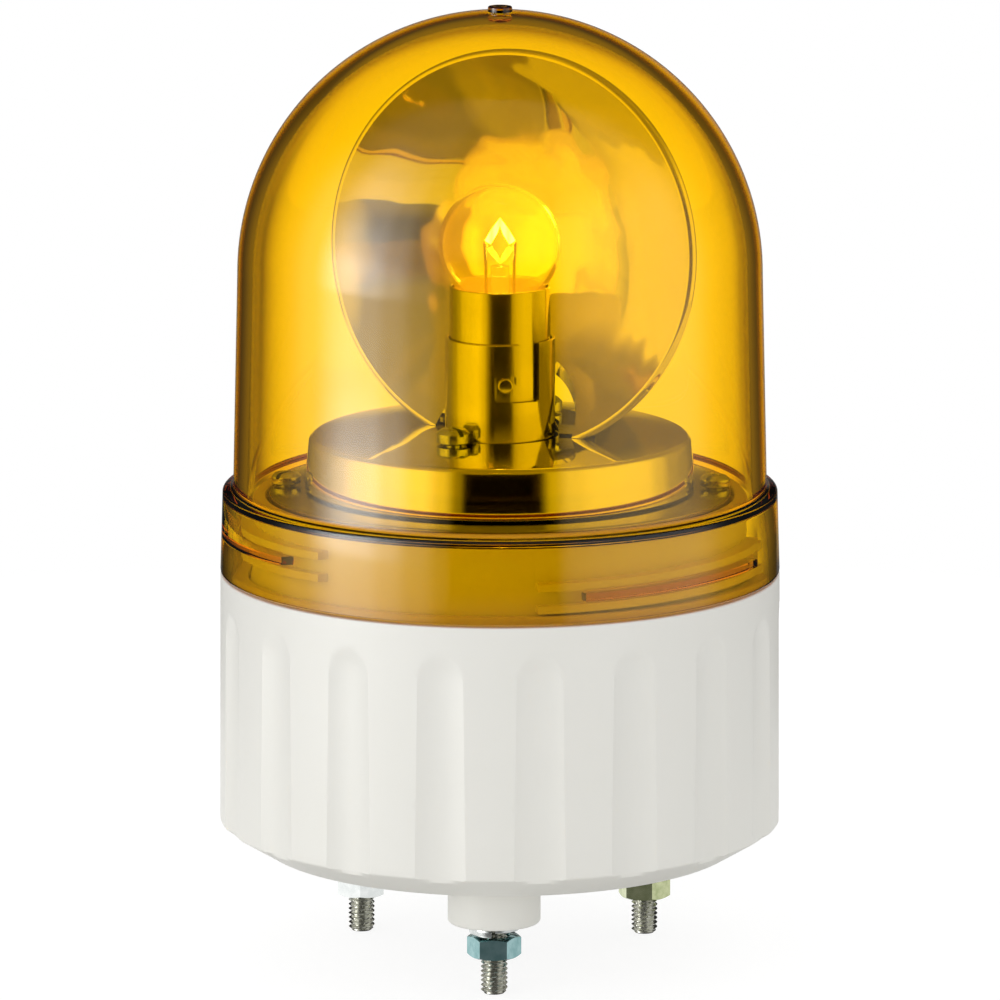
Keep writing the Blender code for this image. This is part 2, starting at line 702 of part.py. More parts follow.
def neck_ribs():
    """Interrupted thread ribs round the neck: the same windows on each turn of the helix."""
    first = SEAM + RIB_START_ABOVE_SEAM
    return [
        helix_rib(
            NECK_RADIUS - JOIN_OVERLAP, NECK_RADIUS + RIB_REACH,
            first + THREAD_PITCH * turn, RIB_HEIGHT,
            RIB_FIRST_ANGLE + math.tau * window / RIB_WINDOWS, RIB_WINDOW_TURN,
        )
        for turn in range(RIB_TURNS)
        for window in range(RIB_WINDOWS)
    ]


def flute(number):
    """An upright round-ended cutter that scoops one shallow flute out of the wall."""
    half = FLUTE_WIDTH / 2
    radius = (half**2 + FLUTE_DEPTH**2) / (2 * FLUTE_DEPTH)
    ball = SEAM - FLUTE_TOP_BELOW_SEAM - half
    rings = FLUTE_STEPS // 4
    outline = [(0, FLOOR_BOTTOM - CUT_OVERRUN), (radius, FLOOR_BOTTOM - CUT_OVERRUN)]
    for ring in range(rings + 1):
        angle = math.pi / 2 * ring / rings
        outline.append((radius * math.cos(angle) if ring < rings else 0, ball + radius * math.sin(angle)))
    angle = math.tau * (number + 0.5) / FLUTE_COUNT - math.pi / 2
    centre = WALL_TOP_RADIUS - FLUTE_DEPTH + radius
    return moved(turned(outline, FLUTE_STEPS), (*polar(centre, angle), 0), angle)


def foot_holes():
    hole = STUD_RADIUS + SCREW_CLEARANCE
    shapes = []
    for angle in FOOT_ANGLES:
        stepped = turned(
            [
                (0, -CUT_OVERRUN), (FOOT_RECESS_RADIUS, -CUT_OVERRUN),
                (FOOT_RECESS_RADIUS, FOOT_RECESS_DEPTH), (hole, FOOT_RECESS_DEPTH),
                (hole, FLOOR_TOP + CUT_OVERRUN), (0, FLOOR_TOP + CUT_OVERRUN),
            ],
            SMALL_STEPS,
        )
        shapes.append(moved(stepped, (*polar(FOOT_CIRCLE_RADIUS, angle), 0)))
    return shapes


def fixing_holes():
    deck_hole = DECK_SCREW_RADIUS + SCREW_CLEARANCE
    shapes = [
        moved(
            rod(deck_hole, POST_TOP - DECK_SCREW_LENGTH, POST_TOP + CUT_OVERRUN),
            (*polar(POST_CIRCLE_RADIUS, angle), 0),
        )
        for angle in POST_ANGLES
    ]
    pedestal_top = FLOOR_TOP + PEDESTAL_HEIGHT
    block_hole = BLOCK_SCREW_RADIUS + SCREW_CLEARANCE
    shapes.append(
        moved(
            rod(block_hole, pedestal_top - PEDESTAL_HOLE_DEPTH, pedestal_top + CUT_OVERRUN),
            (*polar(BLOCK_CIRCLE, MOTOR_ANGLE), 0),
        )
    )
    return shapes


def make_grommet():
    bore = GROMMET_BORE_RADIUS
    waist = CABLE_HOLE_RADIUS - SEAT_GAP
    flange = CABLE_HOLE_RADIUS + GROMMET_FLANGE_REACH
    below = FLOOR_BOTTOM - SEAT_GAP
    above = FLOOR_TOP + SEAT_GAP
    solid(
        "cable_grommet",
        turned(
            [
                (bore, below - GROMMET_FLANGE_THICKNESS), (flange, below - GROMMET_FLANGE_THICKNESS),
                (flange, below), (waist, below), (waist, above), (flange, above),
                (flange, above + GROMMET_FLANGE_THICKNESS), (bore, above + GROMMET_FLANGE_THICKNESS),
            ],
            ROUND_STEPS,
        ),
        "black_rubber",
    )


def make_fixings():
    """The mounting screw, spring washer and nut of each foot."""
    for side, angle in zip(("front", "right", "left"), FOOT_ANGLES):
        at = (*polar(FOOT_CIRCLE_RADIUS, angle), 0)
        head_bottom = FLOOR_TOP + SEAT_GAP
        shank = turned(
            [
                (0, -STUD_BELOW_FEET), (STUD_RADIUS - STUD_TIP_CHAMFER, -STUD_BELOW_FEET),
                (STUD_RADIUS, STUD_TIP_CHAMFER - STUD_BELOW_FEET),
                (STUD_RADIUS, head_bottom + JOIN_OVERLAP), (0, head_bottom + JOIN_OVERLAP),
            ],
            SMALL_STEPS,
        )
        head = hexagon(STUD_HEAD_ACROSS_FLATS, head_bottom, head_bottom + STUD_HEAD_HEIGHT, NUT_CHAMFER)
        stud = solid(f"mounting_screw_{side}", shank, "zinc_steel", at)
        bpy.context.view_layer.update()
        fuse(stud, head)
        washer = moved(spring_washer(), turn=angle + WASHER_GAP_TURN / 2)
        solid(f"spring_washer_{side}", washer, "zinc_steel", at)
        nut = solid(
            f"hex_nut_{side}", hexagon(NUT_ACROSS_FLATS, NUT_BOTTOM, NUT_TOP, NUT_CHAMFER),
            "zinc_steel", at,
        )
        bpy.context.view_layer.update()
        cut(
            nut,
            rod(STUD_RADIUS + SCREW_CLEARANCE, NUT_BOTTOM - CUT_OVERRUN, NUT_TOP + CUT_OVERRUN),
        )


def spring_washer():
    """One turn of a flat-sided left-hand helix with its two cut ends apart, at angle zero."""
    turn = math.tau - WASHER_GAP_TURN
    rings = []
    for step in range(SMALL_STEPS + 1):
        angle = turn * step / SMALL_STEPS
        low = WASHER_BOTTOM + WASHER_RISE * (1 - step / SMALL_STEPS)
        corners = (
            (WASHER_BORE_RADIUS, low), (WASHER_RADIUS, low),
            (WASHER_RADIUS, low + WASHER_THICKNESS), (WASHER_BORE_RADIUS, low + WASHER_THICKNESS),
        )
        rings.append([(*polar(radius, angle), height) for radius, height in corners])
    return swept_rings(rings)


# Globe


def make_globe():
    inner = DOME_RADIUS - DOME_WALL
    quarter = [math.pi / 2 * ring / DOME_RINGS for ring in range(DOME_RINGS)]
    nub_start = math.acos(NUB_RADIUS / DOME_RADIUS)
    outer_arc = [
        (DOME_RADIUS * math.cos(angle), DOME_CENTRE + DOME_RADIUS * math.sin(angle))
        for angle in quarter
    ]
    inner_arc = [
        (inner * math.cos(angle), DOME_CENTRE + inner * math.sin(angle))
        for angle in reversed(quarter)
    ]
    nub_foot = DOME_CENTRE + DOME_RADIUS * math.sin(nub_start)
    nub_top = DOME_CENTRE + DOME_RADIUS + NUB_HEIGHT
    bore_roof = SKIRT_TOP - SHOULDER_ROOF
    globe = solid(
        "globe",
        turned(
            [
                (0, nub_top - NUB_DIMPLE_DEPTH), (NUB_DIMPLE_RADIUS, nub_top), (NUB_RADIUS, nub_top),
                (NUB_RADIUS, nub_foot), *reversed(outer_arc), (DOME_FOOT_RADIUS, DOME_FOOT),
                (SKIRT_TOP_RADIUS, SKIRT_TOP), (SKIRT_FOOT_RADIUS, GLOBE_BOTTOM),
                (SKIRT_BORE_RADIUS, GLOBE_BOTTOM), (SKIRT_BORE_RADIUS, bore_roof),
                (DOME_FOOT_RADIUS - DOME_WALL, bore_roof), *reversed(inner_arc),
                (0, DOME_CENTRE + inner),
            ],
            GLOBE_STEPS,
        ),
        "amber_polycarbonate",
    )
    middle = SEAM + RIB_START_ABOVE_SEAM + THREAD_PITCH / 2
    trim = (RIB_WINDOW_TURN - GLOBE_RIB_TURN) / 2
    ribs = [
        helix_rib(
            SKIRT_BORE_RADIUS - GLOBE_RIB_REACH, SKIRT_BORE_RADIUS + JOIN_OVERLAP,
            middle + THREAD_PITCH * turn, RIB_HEIGHT,
            RIB_FIRST_ANGLE + trim + math.tau * window / RIB_WINDOWS, GLOBE_RIB_TURN,
        )
        for turn in range(GLOBE_RIB_TURNS)
        for window in range(RIB_WINDOWS)
    ]
    fuse(globe, gathered(ribs))


def make_gasket():
    low = SEAM + SEAT_GAP
    solid(
        "globe_gasket",
        tube(
            NECK_RADIUS + SEAT_GAP, SKIRT_BORE_RADIUS - SEAT_GAP,
            low, low + GASKET_THICKNESS, GLOBE_STEPS,
        ),
        "natural_silicone",
    )


# Deck and motor


def make_deck():
    motor = polar(MOTOR_CIRCLE, MOTOR_ANGLE)
    deck = solid(
        "deck_plate",
        tube(BUSH_RADIUS + SEAT_GAP, DECK_RADIUS, DECK_BOTTOM, DECK_TOP, GLOBE_STEPS),
        "dark_steel",
    )
    low = DECK_BOTTOM - CUT_OVERRUN
    high = DECK_TOP + CUT_OVERRUN
    holes = [
        moved(rod(DECK_SCREW_RADIUS + SCREW_CLEARANCE, low, high), (*polar(POST_CIRCLE_RADIUS, angle), 0))
        for angle in POST_ANGLES
    ]
    holes.append(moved(rod(MOTOR_BOSS_RADIUS + SEAT_GAP, low, high), (*motor, 0)))
    for side in (-1, 1):
        across = side * MOTOR_SCREW_SPREAD
        holes.append(
            moved(rod(MOTOR_SCREW_RADIUS + SCREW_CLEARANCE, low, high), (motor[0] + across, motor[1], 0))
        )
        holes.append(
            moved(
                rod(BRACKET_SCREW_RADIUS + SCREW_CLEARANCE, low, high),
                (side * bracket_screw_reach(), 0, 0),
            )
        )
    cut(deck, gathered(holes))
    for side, angle in zip(("right", "left"), POST_ANGLES):
        screw_down(
            f"deck_screw_{side}",
            (*polar(POST_CIRCLE_RADIUS, angle), DECK_TOP + SEAT_GAP),
            math.radians(60),
            (DECK_SCREW_HEAD_RADIUS, DECK_SCREW_HEAD_HEIGHT, DECK_SCREW_RADIUS, DECK_SCREW_LENGTH),
        )


def make_motor():
    centre = (*polar(MOTOR_CIRCLE, MOTOR_ANGLE), 0)
    bore = SHAFT_RADIUS + SEAT_GAP
    can = solid(
        "motor_can",
        turned(
            [
                (bore, MOTOR_BOTTOM), (MOTOR_RADIUS, MOTOR_BOTTOM), (MOTOR_RADIUS, MOTOR_TOP),
                (MOTOR_BOSS_RADIUS, MOTOR_TOP), (MOTOR_BOSS_RADIUS, MOTOR_TOP + MOTOR_BOSS_HEIGHT),
                (bore, MOTOR_TOP + MOTOR_BOSS_HEIGHT),
            ],
            ROUND_STEPS,
        ),
        "zinc_steel",
        centre,
    )
    bpy.context.view_layer.update()
    hole = MOTOR_SCREW_RADIUS + SCREW_CLEARANCE
    bite = MOTOR_SCREW_LENGTH
    cut(
        can,
        gathered(
            [
                moved(
                    rod(hole, MOTOR_TOP - bite, MOTOR_TOP + CUT_OVERRUN),
                    (side * MOTOR_SCREW_SPREAD, 0, 0),
                )
                for side in (-1, 1)
            ]
        ),
    )
    cap_top = MOTOR_BOTTOM - SEAT_GAP
    cap = solid(
        "motor_end_cap", rod(MOTOR_RADIUS, MOTOR_CAP_BOTTOM, cap_top, ROUND_STEPS), "acetal_white", centre
    )
    bpy.context.view_layer.update()
    slots = []
    for side, name in ((-1, "left"), (1, "right")):
        low = (side * TAB_SPREAD - TAB_WIDTH / 2, -TAB_THICKNESS / 2, MOTOR_CAP_BOTTOM - TAB_LENGTH)
        high = (side * TAB_SPREAD + TAB_WIDTH / 2, TAB_THICKNESS / 2, cap_top)
        solid(f"motor_terminal_{name}", box(low, high), "brass", centre)
        slots.append(
            box(
                (low[0] - SEAT_GAP, low[1] - SEAT_GAP, MOTOR_CAP_BOTTOM - CUT_OVERRUN),
                (high[0] + SEAT_GAP, high[1] + SEAT_GAP, cap_top + CUT_OVERRUN),
            )
        )
        screw_down(
            f"motor_screw_{name}",
            (centre[0] + side * MOTOR_SCREW_SPREAD, centre[1], DECK_TOP + SEAT_GAP),
            math.radians(20),
            (
                MOTOR_SCREW_HEAD_RADIUS, MOTOR_SCREW_HEAD_HEIGHT, MOTOR_SCREW_RADIUS,
                DECK_THICKNESS + MOTOR_SCREW_LENGTH,
            ),
        )
    cut(cap, gathered(slots))


def make_motor_rotor():
    axis = axis_empty("motor_axis", (*polar(MOTOR_CIRCLE, MOTOR_ANGLE), 0))
    pinion_top = GEAR_TOP + PINION_EXTRA
    solid(
        "motor_shaft",
        rod(SHAFT_RADIUS, MOTOR_TOP - SHAFT_BELOW_CAN_TOP, pinion_top + SHAFT_ABOVE_PINION),
        "zinc_steel", parent=axis,
    )
    teeth = toothed_outline(PINION_TEETH, PINION_PITCH_RADIUS, MOTOR_ANGLE + math.pi, gap=True)
    pinion = solid("pinion", prism(teeth, GEAR_BOTTOM, pinion_top), "brass", parent=axis)
    bpy.context.view_layer.update()
    cut(
        pinion,
        rod(SHAFT_RADIUS + SEAT_GAP, GEAR_BOTTOM - CUT_OVERRUN, pinion_top + CUT_OVERRUN),
    )


def toothed_outline(teeth, pitch_radius, towards, gap=False):
    """Teeth with straight flanks. One tooth, or one gap, points towards the given angle."""
    step = math.tau / teeth
    root = pitch_radius - GEAR_MODULE * DEDENDUM_SHARE
    tip = pitch_radius + GEAR_MODULE * ADDENDUM_SHARE
    flanks = ((root, TOOTH_ROOT_SHARE), (tip, TOOTH_TIP_SHARE))
    outline = []
    for tooth in range(teeth):
        middle = towards + step * (tooth + (0.5 if gap else 0))
        for radius, share in flanks:
            outline.append(polar(radius, middle - step * share / 2))
        for radius, share in reversed(flanks):
            outline.append(polar(radius, middle + step * share / 2))
    return outline


# Rotor


def rotor_screw_angles():
    """Front and back screw of the rotor, on one line through its axis."""
    front = REFLECTOR_TURN + ROTOR_SCREW_TURN - math.pi / 2
    return front, front + math.pi


def make_drive():
    bush = [
        (BUSH_BORE_RADIUS, BUSH_BOTTOM), (BUSH_RADIUS, BUSH_BOTTOM), (BUSH_RADIUS, BUSH_FLANGE_BOTTOM),
        (BUSH_FLANGE_RADIUS, BUSH_FLANGE_BOTTOM), (BUSH_FLANGE_RADIUS, BUSH_TOP),
        (BUSH_BORE_RADIUS, BUSH_TOP),
    ]
    solid("deck_bush", turned(bush), "sintered_bronze")
    groove = SLEEVE_RADIUS - CLIP_GROOVE_DEPTH
    bore = SLEEVE_BORE_RADIUS
    hub = [
        (bore, SLEEVE_BOTTOM), (SLEEVE_RADIUS, SLEEVE_BOTTOM), (SLEEVE_RADIUS, CLIP_BOTTOM - CLIP_PLAY),
        (groove, CLIP_BOTTOM - CLIP_PLAY), (groove, CLIP_TOP + CLIP_PLAY),
        (SLEEVE_RADIUS, CLIP_TOP + CLIP_PLAY), (SLEEVE_RADIUS, HUB_BOTTOM), (HUB_BOSS_RADIUS, HUB_BOTTOM),
        (HUB_BOSS_RADIUS, HUB_TOP), (bore, HUB_TOP),
    ]
    gear = solid("drive_gear", turned(hub), "acetal_white")
    ring = prism(toothed_outline(GEAR_TEETH, GEAR_PITCH_RADIUS, MOTOR_ANGLE), GEAR_BOTTOM, GEAR_TOP)
    fuse(gear, ring)
    cut(gear, rod(bore, SLEEVE_BOTTOM - CUT_OVERRUN, HUB_TOP + CUT_OVERRUN, ROUND_STEPS))
    cut(gear, gathered(rotor_screw_holes(HUB_TOP - ROTOR_SCREW_BITE - SEAT_GAP, HUB_TOP + CUT_OVERRUN)))
    steps = ROUND_STEPS
    start = MOTOR_ANGLE + CLIP_GAP_TURN / 2
    turn = math.tau - CLIP_GAP_TURN
    inner = groove + CLIP_PLAY
    outer = SLEEVE_RADIUS + CLIP_REACH
    rings = [
        [
            (*polar(inner, start + turn * step / steps), CLIP_BOTTOM),
            (*polar(outer, start + turn * step / steps), CLIP_BOTTOM),
            (*polar(outer, start + turn * step / steps), CLIP_TOP),
            (*polar(inner, start + turn * step / steps), CLIP_TOP),
        ]
        for step in range(steps + 1)
    ]
    solid("rotor_clip", swept_rings(rings), "zinc_steel")


def rotor_screw_holes(low, high):
    return [
        moved(rod(ROTOR_SCREW_RADIUS + SCREW_CLEARANCE, low, high), (*polar(ROTOR_SCREW_CIRCLE, angle), 0))
        for angle in rotor_screw_angles()
    ]


def make_drum():
    corner = [
        (
            DRUM_TOP_RADIUS - DRUM_CORNER_RADIUS * (1 - math.sin(angle)),
            DRUM_TOP - DRUM_CORNER_RADIUS * (1 - math.cos(angle)),
        )
        for angle in (math.pi / 2 * ring / DRUM_CORNER_RINGS for ring in range(DRUM_CORNER_RINGS + 1))
    ]
    hole = TUBE_RADIUS + RUN_GAP
    drum = solid(
        "rotor_drum",
        turned(
            [
                (hole, DRUM_ROOF_BOTTOM), (DRUM_TOP_RADIUS - DRUM_WALL, DRUM_ROOF_BOTTOM),
                (DRUM_FOOT_RADIUS - DRUM_WALL, DRUM_BOTTOM), (DRUM_FOOT_RADIUS, DRUM_BOTTOM),
                *reversed(corner), (hole, DRUM_TOP),
            ],
            GLOBE_STEPS,
        ),
        "plated_mirror",
    )
    cut(drum, gathered(rotor_screw_holes(DRUM_ROOF_BOTTOM - CUT_OVERRUN, DRUM_TOP + CUT_OVERRUN)))
    seats = (DRUM_TOP + SEAT_GAP, DRUM_TOP + SEAT_GAP + FLANGE_THICKNESS + SEAT_GAP)
    for name, angle, seat in zip(("front", "back"), rotor_screw_angles(), seats):
        screw_down(
            f"rotor_screw_{name}",
            (*polar(ROTOR_SCREW_CIRCLE, angle), seat),
            angle + math.radians(70),
            (
                ROTOR_SCREW_HEAD_RADIUS, ROTOR_SCREW_HEAD_HEIGHT, ROTOR_SCREW_RADIUS,
                seat - HUB_TOP + ROTOR_SCREW_BITE,
            ),
        )


def reflector_frame():
    """Where the dish's own axes lie: its opening is +Z there, and its rim is at height zero."""
    facing = REFLECTOR_TURN - math.pi / 2
    away = polar(-RIM_SET_BACK, facing)
    centre = Vector((*away, DRUM_TOP + RIM_CENTRE_ABOVE_DRUM))
    turn = Matrix.Rotation(REFLECTOR_TURN, 4, "Z") @ Matrix.Rotation(math.pi / 2 - REFLECTOR_LEAN, 4, "X")
    return Matrix.Translation(centre) @ turn


def make_reflector():
    mouth = RIM_RADIUS - RIM_LIP
    shares = [ring / DISH_RINGS for ring in range(DISH_RINGS + 1)]
    inner = [(mouth * share, DISH_DEPTH * (share**2 - 1)) for share in shares]
    back_radius = RIM_RADIUS
    outer = [(back_radius * share, DISH_DEPTH * (share**2 - 1) - DISH_WALL) for share in reversed(shares)]
    dish = turned([*inner, (RIM_RADIUS, 0), *outer], GLOBE_STEPS)
    dish.transform(reflector_frame())
    reflector = solid("reflector", dish, "plated_mirror")
    foot = DRUM_TOP + SEAT_GAP
    reach = 2 * RIM_RADIUS
    cut(
        reflector,
        box((-reach, -reach, foot - reach), (reach, reach, foot)),
    )
    cut(
        reflector,
        rod(DISH_SOCKET_HOLE_RADIUS, foot - CUT_OVERRUN, DRUM_TOP + DISH_HOLE_TOP_ABOVE_DRUM, ROUND_STEPS),
    )
    fuse(reflector, reflector_flange(foot))
    back = rotor_screw_angles()[1]
    cut(
        reflector,
        moved(
            rod(
                ROTOR_SCREW_RADIUS + SCREW_CLEARANCE,
                foot - CUT_OVERRUN, foot + FLANGE_THICKNESS + CUT_OVERRUN,
            ),
            (*polar(ROTOR_SCREW_CIRCLE, back), 0),
        ),
    )


def reflector_flange(foot):
    """Horseshoe foot behind the dish, from one lower corner of the dish round to the other."""
    steps = ROUND_STEPS // 2
    middle = REFLECTOR_TURN + math.pi / 2
    rings = []
    for step in range(steps + 1):
        angle = middle + FLANGE_TURN * (step / steps - 0.5)
        rings.append(
            [
                (*polar(FLANGE_INNER_RADIUS, angle), foot), (*polar(FLANGE_OUTER_RADIUS, angle), foot),
                (*polar(FLANGE_OUTER_RADIUS, angle), foot + FLANGE_THICKNESS),
                (*polar(FLANGE_INNER_RADIUS, angle), foot + FLANGE_THICKNESS),
            ]
        )
    return swept_rings(rings)


# Socket


def bracket_screw_reach():
    return BRACKET_HALF_SPAN + BRACKET_FOOT / 2 + BRACKET_THICKNESS / 2


def make_socket():
    bore = TUBE_RADIUS - TUBE_WALL
    socket = solid("socket_tube", tube(bore, TUBE_RADIUS, TUBE_BOTTOM, TUBE_TOP, ROUND_STEPS), "nickel")
    cut(socket, gathered([bayonet_slot(PIN_ANGLE), bayonet_slot(PIN_ANGLE + math.pi)]))
    disc_radius = bore - DISC_PLAY
    hole = CONTACT_STUD_RADIUS + SEAT_GAP
    solid(
        "socket_foot_disc", tube(hole, disc_radius, TUBE_BOTTOM, FOOT_DISC_TOP, ROUND_STEPS), "phenolic"
    )
    solid(
        "contact_disc",
        tube(hole, disc_radius, CONTACT_DISC_BOTTOM, CONTACT_DISC_TOP, ROUND_STEPS),
        "phenolic",
    )
    head = CONTACT_TOP - CONTACT_HEAD_HEIGHT
    solid(
        "contact_stud",
        turned(
            [
                (0, CONTACT_STUD_BOTTOM), (CONTACT_STUD_RADIUS, CONTACT_STUD_BOTTOM),
                (CONTACT_STUD_RADIUS, head), (CONTACT_HEAD_RADIUS, head),
                (CONTACT_HEAD_RADIUS, CONTACT_TOP), (0, CONTACT_TOP),
            ],
            SMALL_STEPS,
        ),
        "brass",
    )
    low = FOOT_DISC_TOP + SEAT_GAP + SPRING_WIRE_RADIUS
    high = CONTACT_DISC_BOTTOM - SEAT_GAP - SPRING_WIRE_RADIUS
    count = SPRING_TURNS * SPRING_POINTS_PER_TURN
    coil = [
        (*polar(SPRING_RADIUS, math.tau * step / SPRING_POINTS_PER_TURN), low + (high - low) * step / count)
        for step in range(count + 1)
    ]
    wire_between("contact_spring", coil, SPRING_WIRE_RADIUS, "zinc_steel")


def bayonet_slot(pin_angle):
    """J-shaped slot: down from the tube's top, across, and up into the hook that holds the pin."""
    half = SLOT_WIDTH / 2 / TUBE_RADIUS
    entry = pin_angle + SLOT_TURN
    hook_top = PIN_HEIGHT + PIN_RADIUS + SLOT_PLAY
    floor = PIN_HEIGHT - PIN_RADIUS - SLOT_PLAY - PUSH_TRAVEL
    nose = floor + SLOT_NOSE_HEIGHT
    over = TUBE_TOP + CUT_OVERRUN
    outline = [
        (pin_angle - half, floor), (entry + half, floor), (entry + half, over), (entry - half, over),
        (entry - half, nose), (pin_angle + half, nose), (pin_angle + half, hook_top),
        (pin_angle - half, hook_top),
    ]
    return wrapped_prism(outline, TUBE_RADIUS - TUBE_WALL - CUT_OVERRUN, TUBE_RADIUS + CUT_OVERRUN)


def make_bracket():
    """U-shaped strap under the deck that carries the socket tube inside the turning sleeve."""
    half = BRACKET_HALF_SPAN
    out = half + BRACKET_FOOT
    foot_top = DECK_BOTTOM - SEAT_GAP
    foot_low = foot_top - BRACKET_THICKNESS
    outline = [
        (-out, foot_top), (-out, foot_low), (-half, foot_low), (-half, BRACKET_BOTTOM),
        (half, BRACKET_BOTTOM), (half, foot_low), (out, foot_low), (out, foot_top),
        (half - BRACKET_THICKNESS, foot_top), (half - BRACKET_THICKNESS, BRACKET_TOP),
        (BRACKET_THICKNESS - half, BRACKET_TOP), (BRACKET_THICKNESS - half, foot_top),
    ]
    strap = prism(outline, -BRACKET_WIDTH / 2, BRACKET_WIDTH / 2)
    strap.transform(Matrix.Rotation(math.pi / 2, 4, "X"))
    bracket = solid("socket_bracket", strap, "zinc_steel")
    holes = [rod(BRACKET_HOLE_RADIUS, BRACKET_BOTTOM - CUT_OVERRUN, BRACKET_TOP + CUT_OVERRUN)]
    reach = bracket_screw_reach()
    for side, name in ((-1, "left"), (1, "right")):
        holes.append(
            moved(
                rod(BRACKET_SCREW_RADIUS + SCREW_CLEARANCE, foot_low - CUT_OVERRUN, foot_top + CUT_OVERRUN),
                (side * reach, 0, 0),
            )
        )
        head_top = foot_low - SEAT_GAP
        head_low = head_top - BRACKET_SCREW_HEAD_HEIGHT
        solid(
            f"bracket_screw_{name}",
            turned(
                [
                    (0, head_low), (BRACKET_SCREW_HEAD_RADIUS, head_low),
                    (BRACKET_SCREW_HEAD_RADIUS, head_top),
                    (BRACKET_SCREW_RADIUS, head_top), (BRACKET_SCREW_RADIUS, DECK_TOP), (0, DECK_TOP),
                ],
                SMALL_STEPS,
            ),
            "zinc_steel",
            (side * reach, 0, 0),
        )
    cut(bracket, gathered(holes))


# Bulb


def make_bulb():
    inner = GLASS_RADIUS - GLASS_WALL
    neck_inner = GLASS_NECK_RADIUS - GLASS_WALL
    neck_bottom = CAP_TOP - GLASS_NECK_INSIDE_CAP
    outline = [(neck_inner, neck_bottom), (GLASS_NECK_RADIUS, neck_bottom)]
    outline += arc(GLASS_RADIUS, -math.acos(GLASS_NECK_RADIUS / GLASS_RADIUS))
    outline += list(reversed(arc(inner, -math.acos(neck_inner / inner))))
    solid("bulb_glass", turned_shell(outline), "clear_glass")
    cap = solid(
        "bulb_cap", tube(CAP_RADIUS - CAP_WALL, CAP_RADIUS, CAP_BOTTOM, CAP_TOP, ROUND_STEPS), "nickel"
    )
    pins = []
    for angle in (PIN_ANGLE, PIN_ANGLE + math.pi):
        pin = rod(PIN_RADIUS, CAP_RADIUS - CAP_WALL, PIN_REACH)
        pin.transform(
            Matrix.Translation((0, 0, PIN_HEIGHT))
            @ Matrix.Rotation(angle, 4, "Z") @ Matrix.Rotation(math.pi / 2, 4, "Y")
        )
        pins.append(pin)
    fuse(cap, gathered(pins))
    insulator_low = CAP_BOTTOM
    solid(
        "bulb_base_insulator",
        tube(TIP_RADIUS + SEAT_GAP, INSULATOR_RADIUS, insulator_low, insulator_low + INSULATOR_THICKNESS),
        "phenolic",
    )
    solid("bulb_tip_contact", rod(TIP_RADIUS, TIP_BOTTOM, TIP_BOTTOM + TIP_HEIGHT), "solder")
    stem_top = GLASS_CENTRE - STEM_TOP_BELOW_CENTRE
    shoulder = neck_bottom + STEM_SHOULDER_HEIGHT
    flare_radius = neck_inner - SEAT_GAP
    flare_top = neck_bottom + STEM_FLARE_THICKNESS
    solid(
        "glass_stem",
        turned(
            [
                (0, neck_bottom), (flare_radius, neck_bottom), (flare_radius, flare_top),
                (STEM_SHOULDER_RADIUS, neck_bottom + STEM_CONE_HEIGHT), (STEM_SHOULDER_RADIUS, shoulder),
                (STEM_RADIUS, shoulder), (STEM_RADIUS, stem_top), (0, stem_top),
            ],
            SMALL_STEPS,
        ),
        "clear_glass",
    )
    top = GLASS_CENTRE - SUPPORT_TOP_BELOW_CENTRE
    for side, name in ((-1, "left"), (1, "right")):
        route = [
            (side * SUPPORT_FOOT_SPREAD, 0, shoulder + SEAT_GAP),
            (side * SUPPORT_FOOT_SPREAD, 0, stem_top),
            (side * SUPPORT_SPREAD, 0, top),
        ]
        wire_between(f"filament_support_{name}", route, SUPPORT_RADIUS, "nickel")
    lift = SUPPORT_RADIUS + SEAT_GAP + FILAMENT_RADIUS
    crown = [
        (SUPPORT_SPREAD * share, 0, top + lift + FILAMENT_RISE * (1 - abs(share)))
        for share in FILAMENT_SHARES
    ]
    wire_between("filament", crown, FILAMENT_RADIUS, "tungsten")


def arc(radius, start):
    """Points of the bulb's globe, from the neck up to the pole."""
    points = []
    for ring in range(GLASS_RINGS + 1):
        angle = start + (math.pi / 2 - start) * ring / GLASS_RINGS
        reach = radius * math.cos(angle) if ring < GLASS_RINGS else 0
        points.append((reach, GLASS_CENTRE + radius * math.sin(angle)))
    return points


def turned_shell(outline):
    """Spin an outline that touches the axis twice in its middle: the two poles of a shell."""
    poles = [index for index, (radius, _) in enumerate(outline) if radius == 0]
    start = poles[1]
    return turned([*outline[start:], *outline[:start]], ROUND_STEPS)


# Terminal block and leads


